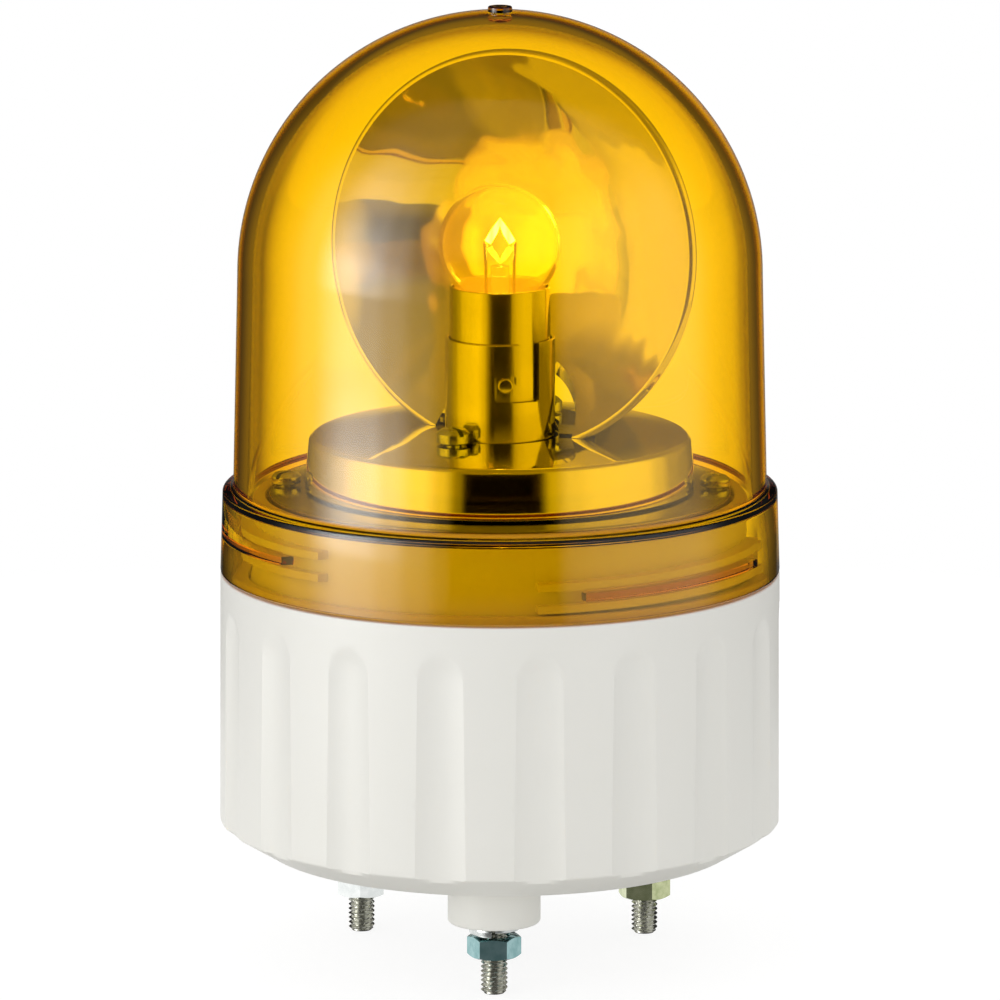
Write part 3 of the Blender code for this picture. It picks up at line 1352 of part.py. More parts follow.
def make_terminals():
    x, y = polar(BLOCK_CIRCLE, MOTOR_ANGLE)
    block = solid(
        "terminal_block",
        box(
            (x - BLOCK_WIDTH / 2, y - BLOCK_DEPTH / 2, BLOCK_BOTTOM),
            (x + BLOCK_WIDTH / 2, y + BLOCK_DEPTH / 2, BLOCK_TOP),
        ),
        "acetal_white",
    )
    fixing = BLOCK_SCREW_RADIUS
    recess_floor = BLOCK_BOTTOM + FIXING_BITE
    holes = [
        moved(
            turned(
                [
                    (0, BLOCK_BOTTOM - CUT_OVERRUN), (fixing + SCREW_CLEARANCE, BLOCK_BOTTOM - CUT_OVERRUN),
                    (fixing + SCREW_CLEARANCE, recess_floor), (FIXING_HEAD_RADIUS + SEAT_GAP, recess_floor),
                    (FIXING_HEAD_RADIUS + SEAT_GAP, BLOCK_TOP + CUT_OVERRUN), (0, BLOCK_TOP + CUT_OVERRUN),
                ],
                SMALL_STEPS,
            ),
            (x, y, 0),
        )
    ]
    screw_down(
        "block_screw", (x, y, recess_floor + SEAT_GAP), math.radians(35),
        (
            FIXING_HEAD_RADIUS, FIXING_HEAD_HEIGHT, BLOCK_SCREW_RADIUS,
            FIXING_BITE + PEDESTAL_HOLE_DEPTH - SEAT_GAP,
        ),
    )
    for side, name in ((-1, "left"), (1, "right")):
        across = x + side * BLOCK_SCREW_SPREAD
        holes.append(
            moved(
                rod(
                    BLOCK_SCREW_RADIUS + SCREW_CLEARANCE,
                    BLOCK_TOP - BLOCK_SCREW_BITE, BLOCK_TOP + CUT_OVERRUN,
                ),
                (across, y, 0),
            )
        )
        screw_down(
            f"terminal_screw_{name}", (across, y, BLOCK_TOP + SEAT_GAP), math.radians(-30 * side),
            (
                BLOCK_SCREW_HEAD_RADIUS, BLOCK_SCREW_HEAD_HEIGHT, BLOCK_SCREW_RADIUS,
                BLOCK_SCREW_BITE - SEAT_GAP,
            ),
        )
    cut(block, gathered(holes))


def make_leads():
    """Insulated wires inside the base: two to the motor, one to the socket's contact, one to its tube."""
    x, y = polar(BLOCK_CIRCLE, MOTOR_ANGLE)
    front = y - BLOCK_DEPTH / 2 - SEAT_GAP
    back = y + BLOCK_DEPTH / 2 + SEAT_GAP
    exit_height = BLOCK_BOTTOM + WIRE_HOLE_ABOVE_FOOT
    tab_back = MOTOR_CIRCLE + TAB_THICKNESS / 2 + SEAT_GAP
    tab_middle = MOTOR_CAP_BOTTOM - TAB_LENGTH / 2
    for side, name, material in ((-1, "left", "black_lead"), (1, "right", "red_lead")):
        across = side * BLOCK_SCREW_SPREAD
        route = [
            (across, back, exit_height),
            (across, back + 3 * LEAD_RADIUS, exit_height + LEAD_RADIUS),
            (side * TAB_SPREAD, back + 4 * LEAD_RADIUS, (exit_height + tab_middle) / 2),
            (side * TAB_SPREAD, back - LEAD_RADIUS, tab_middle),
            (side * TAB_SPREAD, tab_back, tab_middle),
        ]
        wire_between(f"motor_lead_{name}", smooth_route(route, LEAD_POINTS), LEAD_RADIUS, material)
    rise = BRACKET_BOTTOM - exit_height
    contact_route = [
        (-BLOCK_SCREW_SPREAD, front, exit_height),
        (-BLOCK_SCREW_SPREAD, front - 5 * LEAD_RADIUS, exit_height + LEAD_RADIUS),
        (-BLOCK_SCREW_SPREAD / 2, front / 2, exit_height + rise / 3),
        (0, 0, BRACKET_BOTTOM - rise / 4),
        (0, 0, BRACKET_BOTTOM),
        (0, 0, (BRACKET_BOTTOM + CONTACT_STUD_BOTTOM) / 2),
        (0, 0, CONTACT_STUD_BOTTOM - SEAT_GAP),
    ]
    wire_between("contact_lead", smooth_route(contact_route, LEAD_POINTS + 8), LEAD_RADIUS, "red_lead")
    tag_x = BRACKET_HALF_SPAN / 2
    earth_route = [
        (BLOCK_SCREW_SPREAD, front, exit_height),
        (BLOCK_SCREW_SPREAD, front - 5 * LEAD_RADIUS, exit_height + LEAD_RADIUS),
        (tag_x, front / 2, exit_height + rise / 3),
        (tag_x, 0, BRACKET_BOTTOM - rise / 4),
        (tag_x, 0, BRACKET_BOTTOM - SEAT_GAP),
    ]
    wire_between("socket_lead", smooth_route(earth_route, LEAD_POINTS), LEAD_RADIUS, "black_lead")


def main():
    clear_scene()
    make_base()
    make_grommet()
    make_fixings()
    make_gasket()
    make_globe()
    make_deck()
    make_motor()
    make_motor_rotor()
    make_drive()
    make_drum()
    make_reflector()
    make_socket()
    make_bracket()
    make_bulb()
    make_terminals()
    make_leads()


main()
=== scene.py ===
"""Looks of the rotating beacon light: fine pieces and finishes around the CAD frame.

Metres, +Z up along the rotor's axis, in the CAD's own frame. The origin is the centre of the plane
of the three foot faces.
"""

import json
import math

import bmesh
import bpy
from mathutils import Matrix, Vector


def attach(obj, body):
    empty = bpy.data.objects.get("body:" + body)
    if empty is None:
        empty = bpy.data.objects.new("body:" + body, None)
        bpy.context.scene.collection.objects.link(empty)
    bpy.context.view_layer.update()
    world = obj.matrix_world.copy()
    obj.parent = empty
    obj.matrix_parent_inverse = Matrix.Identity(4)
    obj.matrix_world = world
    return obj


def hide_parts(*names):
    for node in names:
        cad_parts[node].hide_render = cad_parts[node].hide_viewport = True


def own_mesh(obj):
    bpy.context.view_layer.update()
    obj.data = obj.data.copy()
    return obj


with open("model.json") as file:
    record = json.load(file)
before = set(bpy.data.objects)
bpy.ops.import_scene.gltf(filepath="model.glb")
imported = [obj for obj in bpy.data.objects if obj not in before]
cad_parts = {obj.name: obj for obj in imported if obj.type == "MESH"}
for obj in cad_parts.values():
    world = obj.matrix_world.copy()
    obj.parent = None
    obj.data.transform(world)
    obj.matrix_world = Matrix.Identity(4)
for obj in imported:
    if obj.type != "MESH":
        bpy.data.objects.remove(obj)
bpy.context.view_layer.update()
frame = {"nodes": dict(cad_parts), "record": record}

MM = 0.001
SLOTS = {part["node"]: part["material_slot"] for part in frame["record"]["subparts"]}

# Clearances and construction values
SEAT_GAP = 0.3 * MM
OVERRUN = 1.5 * MM
OVERLAP = 0.5 * MM
WELD = 0.0005 * MM
FILLET_SEGMENTS = 4
CORNER_SEGMENTS = 6
SOFTENED_SEGMENTS = 2
WIRE_RESOLUTION = 3
SHARP_ANGLE = math.radians(32)

# Fillets, from a sheared edge to the inside corner of a thick wall
EDGE_SHEARED = 0.1 * MM
EDGE_TURNED = 0.15 * MM
EDGE_EASED = 0.2 * MM
EDGE_DOMED = 0.25 * MM
EDGE_SOFT = 0.3 * MM
EDGE_ROUND = 0.4 * MM
EDGE_FULL = 0.5 * MM
EDGE_WIDE = 0.8 * MM
EDGE_INSIDE = 1.0 * MM

# Steps of full turns, all whole numbers of steps in a sector
SECTORS = 4
BODY_STEPS = 540
GLOBE_STEPS = 256
DISH_STEPS = 256
TUBE_STEPS = 128
SMALL_STEPS = 64

# Base housing
BODY_RADIUS = 42.0 * MM
WALL_FOOT_RADIUS = 42.28 * MM
FLOOR_RADIUS = 36.0 * MM
FLOOR_BOTTOM = 6.4 * MM
FLOOR_TOP = 8.9 * MM
WALL_FOOT = 10.2 * MM
SEAM = 48.0 * MM
NECK_TOP = 60.4 * MM
WALL_THICKNESS = 2.6 * MM
NECK_RADIUS = 37.0 * MM
NECK_BORE_RADIUS = 35.0 * MM
CABLE_HOLE_RADIUS = 6.0 * MM
FOOT_CIRCLE_RADIUS = 25.0 * MM
FOOT_ANGLES = tuple(math.radians(angle) for angle in (-90, 30, 150))
FOOT_NAMES = ("front", "right", "left")
FOOT_RADIUS = 6.9 * MM
FOOT_RECESS_RADIUS = 4.5 * MM
FOOT_RECESS_DEPTH = 0.3 * MM
POST_RADIUS = 3.3 * MM
POST_CIRCLE_RADIUS = 32.2 * MM
POST_TOP = 59.5 * MM
POST_HOLE_RADIUS = 1.55 * MM
POST_HOLE_DEPTH = 9.0 * MM
PEDESTAL_RADIUS = 3.6 * MM
PEDESTAL_HEIGHT = 4.0 * MM
PEDESTAL_HOLE_RADIUS = 1.8 * MM
PEDESTAL_HOLE_DEPTH = 3.4 * MM
BLOCK_CIRCLE = 22.5 * MM
WALL_ROWS = 46
CHAMFER_ROWS = 5
FLUTE_COUNT = 18
FLUTE_RADIUS = 8.5 * MM
FLUTE_AXIS_RADIUS = 49.7 * MM
FLUTE_BALL_HEIGHT = 39.9 * MM
FLUTE_EDGE_ANGLE = math.radians(24)

# Screw thread between neck and globe
THREAD_PITCH = 3.2 * MM
RIB_HEIGHT = 1.2 * MM
NECK_RIB_RADIUS = 39.0 * MM
GLOBE_RIB_RADIUS = 37.6 * MM
NECK_RIB_MIDDLE = 50.9 * MM
GLOBE_RIB_MIDDLE = 52.5 * MM
RIB_WINDOWS = 3
RIB_FIRST_ANGLE = math.radians(-80)
NECK_RIB_TURN = math.radians(70)
GLOBE_RIB_TURN = math.radians(50)
RIB_STEP = math.radians(2)

# Globe
GLOBE_BOTTOM = 48.3 * MM
SKIRT_TOP = 60.7 * MM
SKIRT_TOP_RADIUS = 41.6 * MM
SKIRT_BORE_RADIUS = 39.7 * MM
SKIRT_ROOF = 59.5 * MM
DOME_FOOT = 61.1 * MM
DOME_FOOT_RADIUS = 40.0 * MM
DOME_RADIUS = 39.2 * MM
DOME_WALL = 2.2 * MM
DOME_CENTRE = 93.4 * MM
DOME_RINGS = 48
NUB_RADIUS = 1.8 * MM
NUB_TOP = 133.4 * MM
NUB_DIMPLE_RADIUS = 0.9 * MM
NUB_DIMPLE_DEPTH = 0.3 * MM
GASKET_TOP = 49.3 * MM

# Deck plate and its screws
DECK_BOTTOM = 59.8 * MM
DECK_TOP = 61.0 * MM
DECK_RADIUS = 34.6 * MM
DECK_HOLE_RADIUS = 11.7 * MM
DECK_SCREW_HEAD_RADIUS = 2.25 * MM
DECK_SCREW_HEAD_HEIGHT = 1.6 * MM
DECK_SCREW_RADIUS = 1.25 * MM
DECK_SCREW_LENGTH = 9.0 * MM
DECK_SLOT_TURN = math.radians(60)
MOTOR_CIRCLE = 21.6 * MM
MOTOR_BOSS_HOLE = 3.1 * MM
MOTOR_SCREW_SPREAD = 6.0 * MM
MOTOR_SCREW_HOLE = 1.3 * MM
BRACKET_SCREW_REACH = 19.2 * MM
BRACKET_SCREW_HOLE = 1.55 * MM

# Slotted heads: crown and slot floor as shares of the height, half the slot's width as one of the radius
HEAD_CROWN = 0.35
HEAD_SLOT_FLOOR = 0.55
HEAD_SLOT_HALF = 0.15

# Rotor
DRUM_HOLE_RADIUS = 8.7 * MM
DRUM_TOP_RADIUS = 28.6 * MM
DRUM_FOOT_RADIUS = 29.3 * MM
DRUM_WALL = 1.3 * MM
DRUM_ROOF_BOTTOM = 67.8 * MM
DRUM_TOP = 69.0 * MM
DRUM_BOTTOM = 61.35 * MM
DRUM_CORNER_RADIUS = 0.9 * MM
HUB_TOP = 67.5 * MM
ROTOR_SCREW_CIRCLE = 11.0 * MM
ROTOR_SCREW_ANGLES = (math.radians(-127), math.radians(53))
ROTOR_SCREW_RADIUS = 1.25 * MM
ROTOR_SCREW_HEAD_RADIUS = 2.5 * MM
ROTOR_SCREW_HEAD_HEIGHT = 2.1 * MM
ROTOR_SCREW_BITE = 3.0 * MM
ROTOR_SLOT_TURN = math.radians(70)
SCREW_HOLE_RADIUS = 1.55 * MM

# Reflector dish: its own axes have the opening towards +Z and the rim at height zero
REFLECTOR_TURN = math.radians(-24)
REFLECTOR_LEAN = math.radians(3)
RIM_RADIUS = 30.3 * MM
RIM_LIP = 0.95 * MM
DISH_DEPTH = 14.0 * MM
DISH_WALL = 1.0 * MM
DISH_RINGS = 36
RIM_SET_BACK = 2.5 * MM
RIM_CENTRE_HEIGHT = 96.2 * MM
DISH_FOOT = 69.05 * MM
FLANGE_BOTTOM = 69.3 * MM
DISH_SOCKET_HOLE_RADIUS = 11.4 * MM
DISH_HOLE_TOP = 90.0 * MM
FLANGE_THICKNESS = 1.4 * MM
FLANGE_INNER_RADIUS = 8.9 * MM
FLANGE_OUTER_RADIUS = 14.4 * MM
FLANGE_TURN = math.radians(150)
FLANGE_STEP = math.radians(3)

# Socket tube
TUBE_RADIUS = 8.25 * MM
TUBE_BORE_RADIUS = 7.75 * MM
TUBE_BOTTOM = 51.1 * MM
TUBE_TOP = 83.8 * MM
PIN_ANGLE = math.radians(-82.3)
PIN_HEIGHT = 77.7 * MM
PIN_RADIUS = 1.15 * MM
PIN_REACH = 8.6 * MM
SLOT_WIDTH = 3.3 * MM
SLOT_TURN = math.radians(27.5)
SLOT_FLOOR = 75.0 * MM
SLOT_NOSE = 77.6 * MM
SLOT_HOOK_TOP = 79.1 * MM
SLOT_FILLET = 0.6 * MM

# Bulb
GLASS_CENTRE = 97.5 * MM
GLASS_RADIUS = 9.2 * MM
GLASS_WALL = 0.6 * MM
GLASS_NECK_RADIUS = 6.8 * MM
GLASS_NECK_BOTTOM = 85.4 * MM
GLASS_RINGS = 40
CAP_BOTTOM = 72.0 * MM
CAP_TOP = 91.4 * MM
CAP_RADIUS = 7.55 * MM
CAP_WALL = 0.4 * MM
FILAMENT_RADIUS = 0.55 * MM
FILAMENT_SPREAD = 1.8 * MM
FILAMENT_FOOT = 97.9 * MM
FILAMENT_RISE = 3.1 * MM

# Mounting screws, spring washers and nuts
STUD_RADIUS = 2.0 * MM
STUD_ROOT_RADIUS = 1.6 * MM
STUD_PITCH = 0.7 * MM
STUD_BOTTOM = -11.0 * MM
STUD_TIP_CHAMFER = 0.5 * MM
STUD_THREAD_TOP = 7.0 * MM
STUD_HEAD_BOTTOM = 9.2 * MM
STUD_HEAD_TOP = 12.0 * MM
STUD_HOLE_RADIUS = 2.3 * MM
ROWS_PER_THREAD = 10
THREAD_SLOPE = 1.3
THREAD_CREST = 0.15
ACROSS_FLATS = 7.0 * MM
NUT_TOP = -2.15 * MM
NUT_BOTTOM = -5.35 * MM
NUT_CHAMFER = math.radians(30)
NUT_FACE = 0.97 * ACROSS_FLATS / 2
NUT_TURNS = (0, math.radians(-12), math.radians(30))
WASHER_BORE_RADIUS = 2.25 * MM
WASHER_RADIUS = 3.75 * MM
WASHER_BOTTOM = -1.85 * MM
WASHER_THICKNESS = 1.1 * MM
WASHER_RISE = 0.75 * MM
WASHER_GAP_TURN = math.radians(8)
WASHER_STEP = math.radians(6)
WASHER_EDGE = 0.12 * MM

# Contact spring and lead: node, piece, and the height of the end that stays
SHORTENED = (
    ("contact_spring", "contact_spring_coil", 54.4 * MM),
    ("contact_lead", "contact_lead_wire", 15.7 * MM),
)


def polar(radius, angle):
    """The x and y of a point at a radius and an angle round the axis."""
    return radius * math.cos(angle), radius * math.sin(angle)


# Shapes


def placed(data, name="passing"):
    """An object of the scene with this data."""
    thing = bpy.data.objects.new(name, data)
    bpy.context.scene.collection.objects.link(thing)
    return thing


def meshed(shape, name="passing"):
    """A mesh with what a bmesh holds, which is freed."""
    mesh = bpy.data.meshes.new(name)
    shape.to_mesh(mesh)
    shape.free()
    return mesh


def closed(shape):
    """Merge a shape's doubles and turn its faces outwards."""
    bmesh.ops.remove_doubles(shape, verts=shape.verts, dist=WELD)
    bmesh.ops.recalc_face_normals(shape, faces=shape.faces)
    return shape


def wire(points, radius):
    """A round wire along points, as a closed mesh."""
    curve = bpy.data.curves.new("passing", "CURVE")
    curve.dimensions = "3D"
    curve.bevel_depth = radius
    curve.bevel_resolution = WIRE_RESOLUTION
    curve.use_fill_caps = True
    spline = curve.splines.new("POLY")
    spline.points.add(len(points) - 1)
    for point, place in zip(spline.points, points):
        point.co = (*place, 1)
    thing = placed(curve)
    shape = bmesh.new()
    mesh = bpy.data.meshes.new_from_object(
        thing.evaluated_get(bpy.context.evaluated_depsgraph_get())
    )
    shape.from_mesh(mesh)
    bpy.data.objects.remove(thing)
    bpy.data.curves.remove(curve)
    bpy.data.meshes.remove(mesh)
    return closed(shape)


def rounded(shape, geometry, offset, affect="VERTICES", segments=FILLET_SEGMENTS):
    """Bevel corners, or edges, with a round profile."""
    bmesh.ops.bevel(
        shape, geom=geometry, offset=offset, offset_type="OFFSET", affect=affect, segments=segments,
        profile=0.5, material=-1, clamp_overlap=True,
    )
    return shape


def outline(corners, segments=FILLET_SEGMENTS):
    """A wire in the XZ plane through (radius, height) corners; a third number is a corner's fillet.

    It is closed, or starts and ends on the axis.
    """
    shape = bmesh.new()
    verts = [shape.verts.new((corner[0], 0, corner[1])) for corner in corners]
    pairs = list(zip(verts, verts[1:]))
    if corners[0][0] > 0 or corners[-1][0] > 0:
        pairs.append((verts[-1], verts[0]))
    for pair in pairs:
        shape.edges.new(pair)
    fillets = []
    for index, corner in enumerate(corners):
        if len(corner) == 3:
            before = Vector(corner[:2]) - Vector(corners[index - 1][:2])
            after = Vector(corners[(index + 1) % len(corners)][:2]) - Vector(corner[:2])
            fillets.append((verts[index], corner[2] * math.tan(before.angle(after) / 2)))
    for vert, offset in fillets:
        rounded(shape, [vert], offset, segments=segments)
    return shape


def spun(shape, steps):
    """Spin a wire right round Z: one sector step by step, then copies of it, which is far quicker."""
    sector = math.tau / SECTORS
    bmesh.ops.spin(
        shape, geom=[*shape.verts, *shape.edges], cent=(0, 0, 0), axis=(0, 0, 1), angle=sector,
        steps=steps // SECTORS, use_merge=False,
    )
    bmesh.ops.spin(
        shape, geom=[*shape.verts, *shape.edges, *shape.faces], cent=(0, 0, 0), axis=(0, 0, 1),
        angle=math.tau - sector, steps=SECTORS - 1, use_merge=False, use_duplicate=True,
    )
    return closed(shape)


def turned(corners, steps=SMALL_STEPS, segments=FILLET_SEGMENTS):
    """A lathed shape from its outline's corners."""
    return spun(outline(corners, segments), steps)


def rod(radius, low, high, steps=SMALL_STEPS):
    """A plain round rod on the axis, mostly a tool that drills or joins."""
    return turned([(0, low), (radius, low), (radius, high), (0, high)], steps)


def moved(shape, offset=(0, 0, 0), turn=0.0):
    """Turn a shape about the axis and then shift it."""
    shape.transform(Matrix.Translation(offset) @ Matrix.Rotation(turn, 4, "Z"))
    return shape


def swept(inner, outer, low, high, start, turn, step, pitch=0.0):
    """A bar between two radii and two heights, spun from an angle by a turn, with a helix's pitch."""
    shape = bmesh.new()
    corners = ((inner, low), (outer, low), (outer, high), (inner, high))
    face = shape.faces.new([shape.verts.new((radius, 0, height)) for radius, height in corners])
    moved(shape, (0, 0, pitch * start / math.tau), start)
    steps = math.ceil(turn / step)
    rise = pitch * turn / math.tau / steps
    bmesh.ops.spin(
        shape, geom=[face, *face.edges, *face.verts], cent=(0, 0, 0), axis=(0, 0, 1),
        dvec=(0, 0, rise), angle=turn, steps=steps,
    )
    return closed(shape)


def thickened(shape, offset):
    """Extrude a flat shape's faces by an offset."""
    grown = bmesh.ops.extrude_face_region(shape, geom=list(shape.faces))
    far = [item for item in grown["geom"] if isinstance(item, bmesh.types.BMVert)]
    bmesh.ops.translate(shape, vec=offset, verts=far)


def prism(points, low, high):
    """An upright block with an outline of (x, y) points."""
    shape = bmesh.new()
    shape.faces.new([shape.verts.new((x, y, low)) for x, y in points])
    thickened(shape, (0, 0, high - low))
    return closed(shape)


def softened(shape, offset):
    """Bevel all sharp edges."""
    sharp = [edge for edge in shape.edges if edge.calc_face_angle(0) > SHARP_ANGLE]
    return rounded(shape, sharp, offset, "EDGES", SOFTENED_SEGMENTS)


def gathered(shapes):
    """One bmesh with all these separate shapes."""
    whole = bmesh.new()
    for shape in shapes:
        mesh = meshed(shape)
        whole.from_mesh(mesh)
        bpy.data.meshes.remove(mesh)
    return whole


def combined(shape, operation, *tools):
    """Join the tools to a shape (UNION), cut them away (DIFFERENCE) or keep the overlap (INTERSECT)."""
    subject = placed(meshed(shape))
    helper = placed(meshed(gathered(tools)))
    modifier = subject.modifiers.new("tool", "BOOLEAN")
    modifier.operation = operation
    modifier.object = helper
    result = bmesh.new()
    result.from_object(subject, bpy.context.evaluated_depsgraph_get())
    for thing in (subject, helper):
        mesh = thing.data
        bpy.data.objects.remove(thing)
        bpy.data.meshes.remove(mesh)
    bmesh.ops.remove_doubles(result, verts=result.verts, dist=WELD)
    return result


def piece(name, shape, material, body, slot, *nodes):
    """Finish a piece: its mesh, material, body and the CAD nodes that it stands for; the slot argument is
    not used.
    """
    mesh = meshed(shape, name)
    mesh.shade_smooth()
    mesh.set_sharp_from_angle(angle=SHARP_ANGLE)
    mesh.materials.append(material)
    thing = placed(mesh, name)
    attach(thing, body)
    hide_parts(*nodes)
    return thing


# Materials


def linear(colour):
    """An sRGB hex colour as linear red, green, blue and alpha."""
    channels = [int(colour[start:start + 2], 16) / 255 for start in (1, 3, 5)]
    return (*(c / 12.92 if c <= 0.04045 else ((c + 0.055) / 1.055) ** 2.4 for c in channels), 1.0)


def feed(tree, node, sockets):
    """Give a node's sockets their values, or link them to the outputs that feed them."""
    for name, value in sockets.items():
        if isinstance(value, bpy.types.NodeSocket):
            tree.links.new(value, node.inputs[name])
        else:
            node.inputs[name].default_value = value


def add(tree, kind, sockets=None, **settings):
    """Add one node with its settings and what goes into its sockets."""
    node = tree.nodes.new(kind)
    for name, value in settings.items():
        setattr(node, name, value)
    feed(tree, node, sockets or {})
    return node


def new_material(name, **constants):
    """A material, its tree and its Principled shader, whose constants are given by socket name."""
    material = bpy.data.materials.new(name)
    material.use_nodes = True
    tree = material.node_tree
    shader = tree.nodes["Principled BSDF"]
    feed(tree, shader, {key.replace("_", " "): value for key, value in constants.items()})
    return material, tree, shader


def grain(tree, size, detail=3.0, stretch=(1, 1, 1)):
    """A pattern of lumps of about the given size in the piece's own space; stretch draws them out."""
    place = add(tree, "ShaderNodeTexCoord").outputs["Object"]
    drawn = add(tree, "ShaderNodeMapping", {"Vector": place, "Scale": stretch}).outputs[0]
    return add(
        tree, "ShaderNodeTexNoise", {"Vector": drawn, "Scale": 1 / size, "Detail": detail},
    ).outputs["Fac"]


def dress(tree, shader, tone, colours, gloss, roughness, relief, depth):
    """Dress a shader by patterns: colour by tone, roughness by gloss, and a bump of relief, this deep."""
    ends = {6: linear(colours[0]), 7: linear(colours[1])}
    colour = add(tree, "ShaderNodeMix", {0: tone, **ends}, data_type="RGBA")
    rough = add(
        tree, "ShaderNodeMapRange", {"Value": gloss, "To Min": roughness[0], "To Max": roughness[1]},
    )
    bump = add(tree, "ShaderNodeBump", {"Height": relief, "Distance": depth})
    feed(tree, shader, {
        "Base Color": colour.outputs[2], "Roughness": rough.outputs[0], "Normal": bump.outputs[0],
    })


def light_passes(tree, shader, colour):
    """Let light through to what lies behind: a shadow ray meets a clear film instead of the shader."""
    clear = add(tree, "ShaderNodeBsdfTransparent", {"Color": linear(colour)})
    path = add(tree, "ShaderNodeLightPath")
    surface = add(
        tree, "ShaderNodeMixShader",
        {0: path.outputs["Is Shadow Ray"], 1: shader.outputs[0], 2: clear.outputs[0]},
    )
    feed(tree, tree.nodes["Material Output"], {"Surface": surface.outputs[0]})


def moulded_abs():
    """ABS, injection moulded in a spark-eroded tool: off-white, satin, with a fine even grain."""
    material, tree, shader = new_material("moulded_abs", IOR=1.53)
    spark = grain(tree, 0.35 * MM, detail=2.0)
    dress(
        tree, shader, grain(tree, 14 * MM), ("#f0efe9", "#ecebe4"), spark, (0.38, 0.52), spark, 0.012 * MM
    )
    return material


def tinted_polycarbonate():
    """Amber polycarbonate, moulded in a polished tool: clear deep yellow, and brown along its edges.

    The stain takes this much of red, green and blue per metre of plastic.
    """
    material, tree, shader = new_material(
        "tinted_polycarbonate", IOR=1.585, Roughness=0.0, Transmission_Weight=1.0,
        Base_Color=linear("#ffffff"),
    )
    light_passes(tree, shader, "#ffffff")
    red, green, blue = 4.0, 122.0, 1500.0
    tint = (1 - red / blue, 1 - green / blue, 0.0, 1.0)
    stain = add(tree, "ShaderNodeVolumeAbsorption", {"Color": tint, "Density": blue})
    feed(tree, tree.nodes["Material Output"], {"Volume": stain.outputs[0]})
    return material


def plated_plastic(name, metallic, waviness):
    """Plastic with vacuum-deposited aluminium under lacquer: a mirror with the waviness of its moulding.

    Where it is less than wholly metallic, the rest is the lacquer's haze, which the lit bulb shows.
    """
    material, tree, shader = new_material(name, Metallic=metallic)
    haze = grain(tree, 6 * MM)
    wave = grain(tree, 9 * MM, detail=1.0)
    dress(tree, shader, haze, ("#efece2", "#e8e4d8"), haze, (0.02, 0.07), wave, waviness)
    return material


def zinc_plate(name, colours, roughness):
    """Zinc-plated steel with a thin chromate film: a satin metal whose tint shifts in patches."""
    material, tree, shader = new_material(name, Metallic=1.0)
    film = grain(tree, 1.6 * MM, detail=2.0)
    patches = add(tree, "ShaderNodeMapRange", {"Value": film, "From Min": 0.35, "From Max": 0.65})
    pits = grain(tree, 0.12 * MM, detail=2.0)
    spread = (roughness - 0.04, roughness + 0.06)
    dress(tree, shader, patches.outputs[0], colours, pits, spread, pits, 0.004 * MM)
    return material


def plated_sheet():
    """Bright-plated sheet steel, rolled: a grey mirror, slightly hazy and uneven."""
    material, tree, shader = new_material("plated_sheet_steel", Metallic=1.0)
    film = grain(tree, 3 * MM, detail=4.0)
    rolled = grain(tree, 0.2 * MM)
    dress(tree, shader, film, ("#aaa698", "#a09b8c"), film, (0.03, 0.07), rolled, 0.006 * MM)
    return material


def nickel_plate():
    """Nickel on deep-drawn brass: bright, warm grey, with fine marks from drawing along the tube."""
    material, tree, shader = new_material("nickel_plate", Metallic=1.0)
    lines = grain(tree, 0.25 * MM, detail=2.0, stretch=(1, 1, 0.04))
    dress(tree, shader, grain(tree, 5 * MM), ("#e6dfce", "#d8d0be"), lines, (0.1, 0.2), lines, 0.003 * MM)
    return material


def inner_finish(name, colours, metallic, roughness, size, depth):
    """A finish for the parts inside: two close colours in lumps of one size, and a bump of them."""
    material, tree, shader = new_material(name, Metallic=metallic)
    lumps = grain(tree, size)
    dress(tree, shader, lumps, colours, lumps, (roughness - 0.05, roughness + 0.05), lumps, depth)
    return material


def blown_glass():
    """Soda-lime glass, blown: clear, its thickness varies a little, and it has a faint painted orange
    glow that stands in for the lit filament's light in the glass.
    """
    material, tree, shader = new_material(
        "blown_glass", IOR=1.5, Roughness=0.0, Transmission_Weight=1.0, Base_Color=linear("#ffffff"),
        # Painted glow: this emission stands in for the filament's light scattered in the glass, which is
        # no lamp itself
        Emission_Color=linear("#ffbc62"), Emission_Strength=0.16,
    )
    waves = grain(tree, 4 * MM, detail=1.0)
    bump = add(tree, "ShaderNodeBump", {"Height": waves, "Distance": 0.02 * MM})
    feed(tree, shader, {"Normal": bump.outputs[0]})
    light_passes(tree, shader, "#f2f2f2")
    return material


def hot_tungsten():
    """Coiled tungsten wire, lit: yellow-white, its turns drawn coarser than they are, as dimmer bands."""
    material, tree, shader = new_material(
        "hot_tungsten", Metallic=1.0, Roughness=0.5, Emission_Strength=70.0
    )
    place = add(tree, "ShaderNodeTexCoord").outputs["Object"]
    turns = add(
        tree, "ShaderNodeTexWave", {"Vector": place, "Scale": 1 / (4 * MM)}, bands_direction="X",
    ).outputs["Fac"]
    for socket, dim, bright in (
        ("Base Color", "#8a7a60", "#b9a98c"), ("Emission Color", "#ffd48a", "#fff0cc"),
    ):
        ends = {6: linear(dim), 7: linear(bright)}
        colour = add(tree, "ShaderNodeMix", {0: turns, **ends}, data_type="RGBA")
        feed(tree, shader, {socket: colour.outputs[2]})
    return material


# Base housing


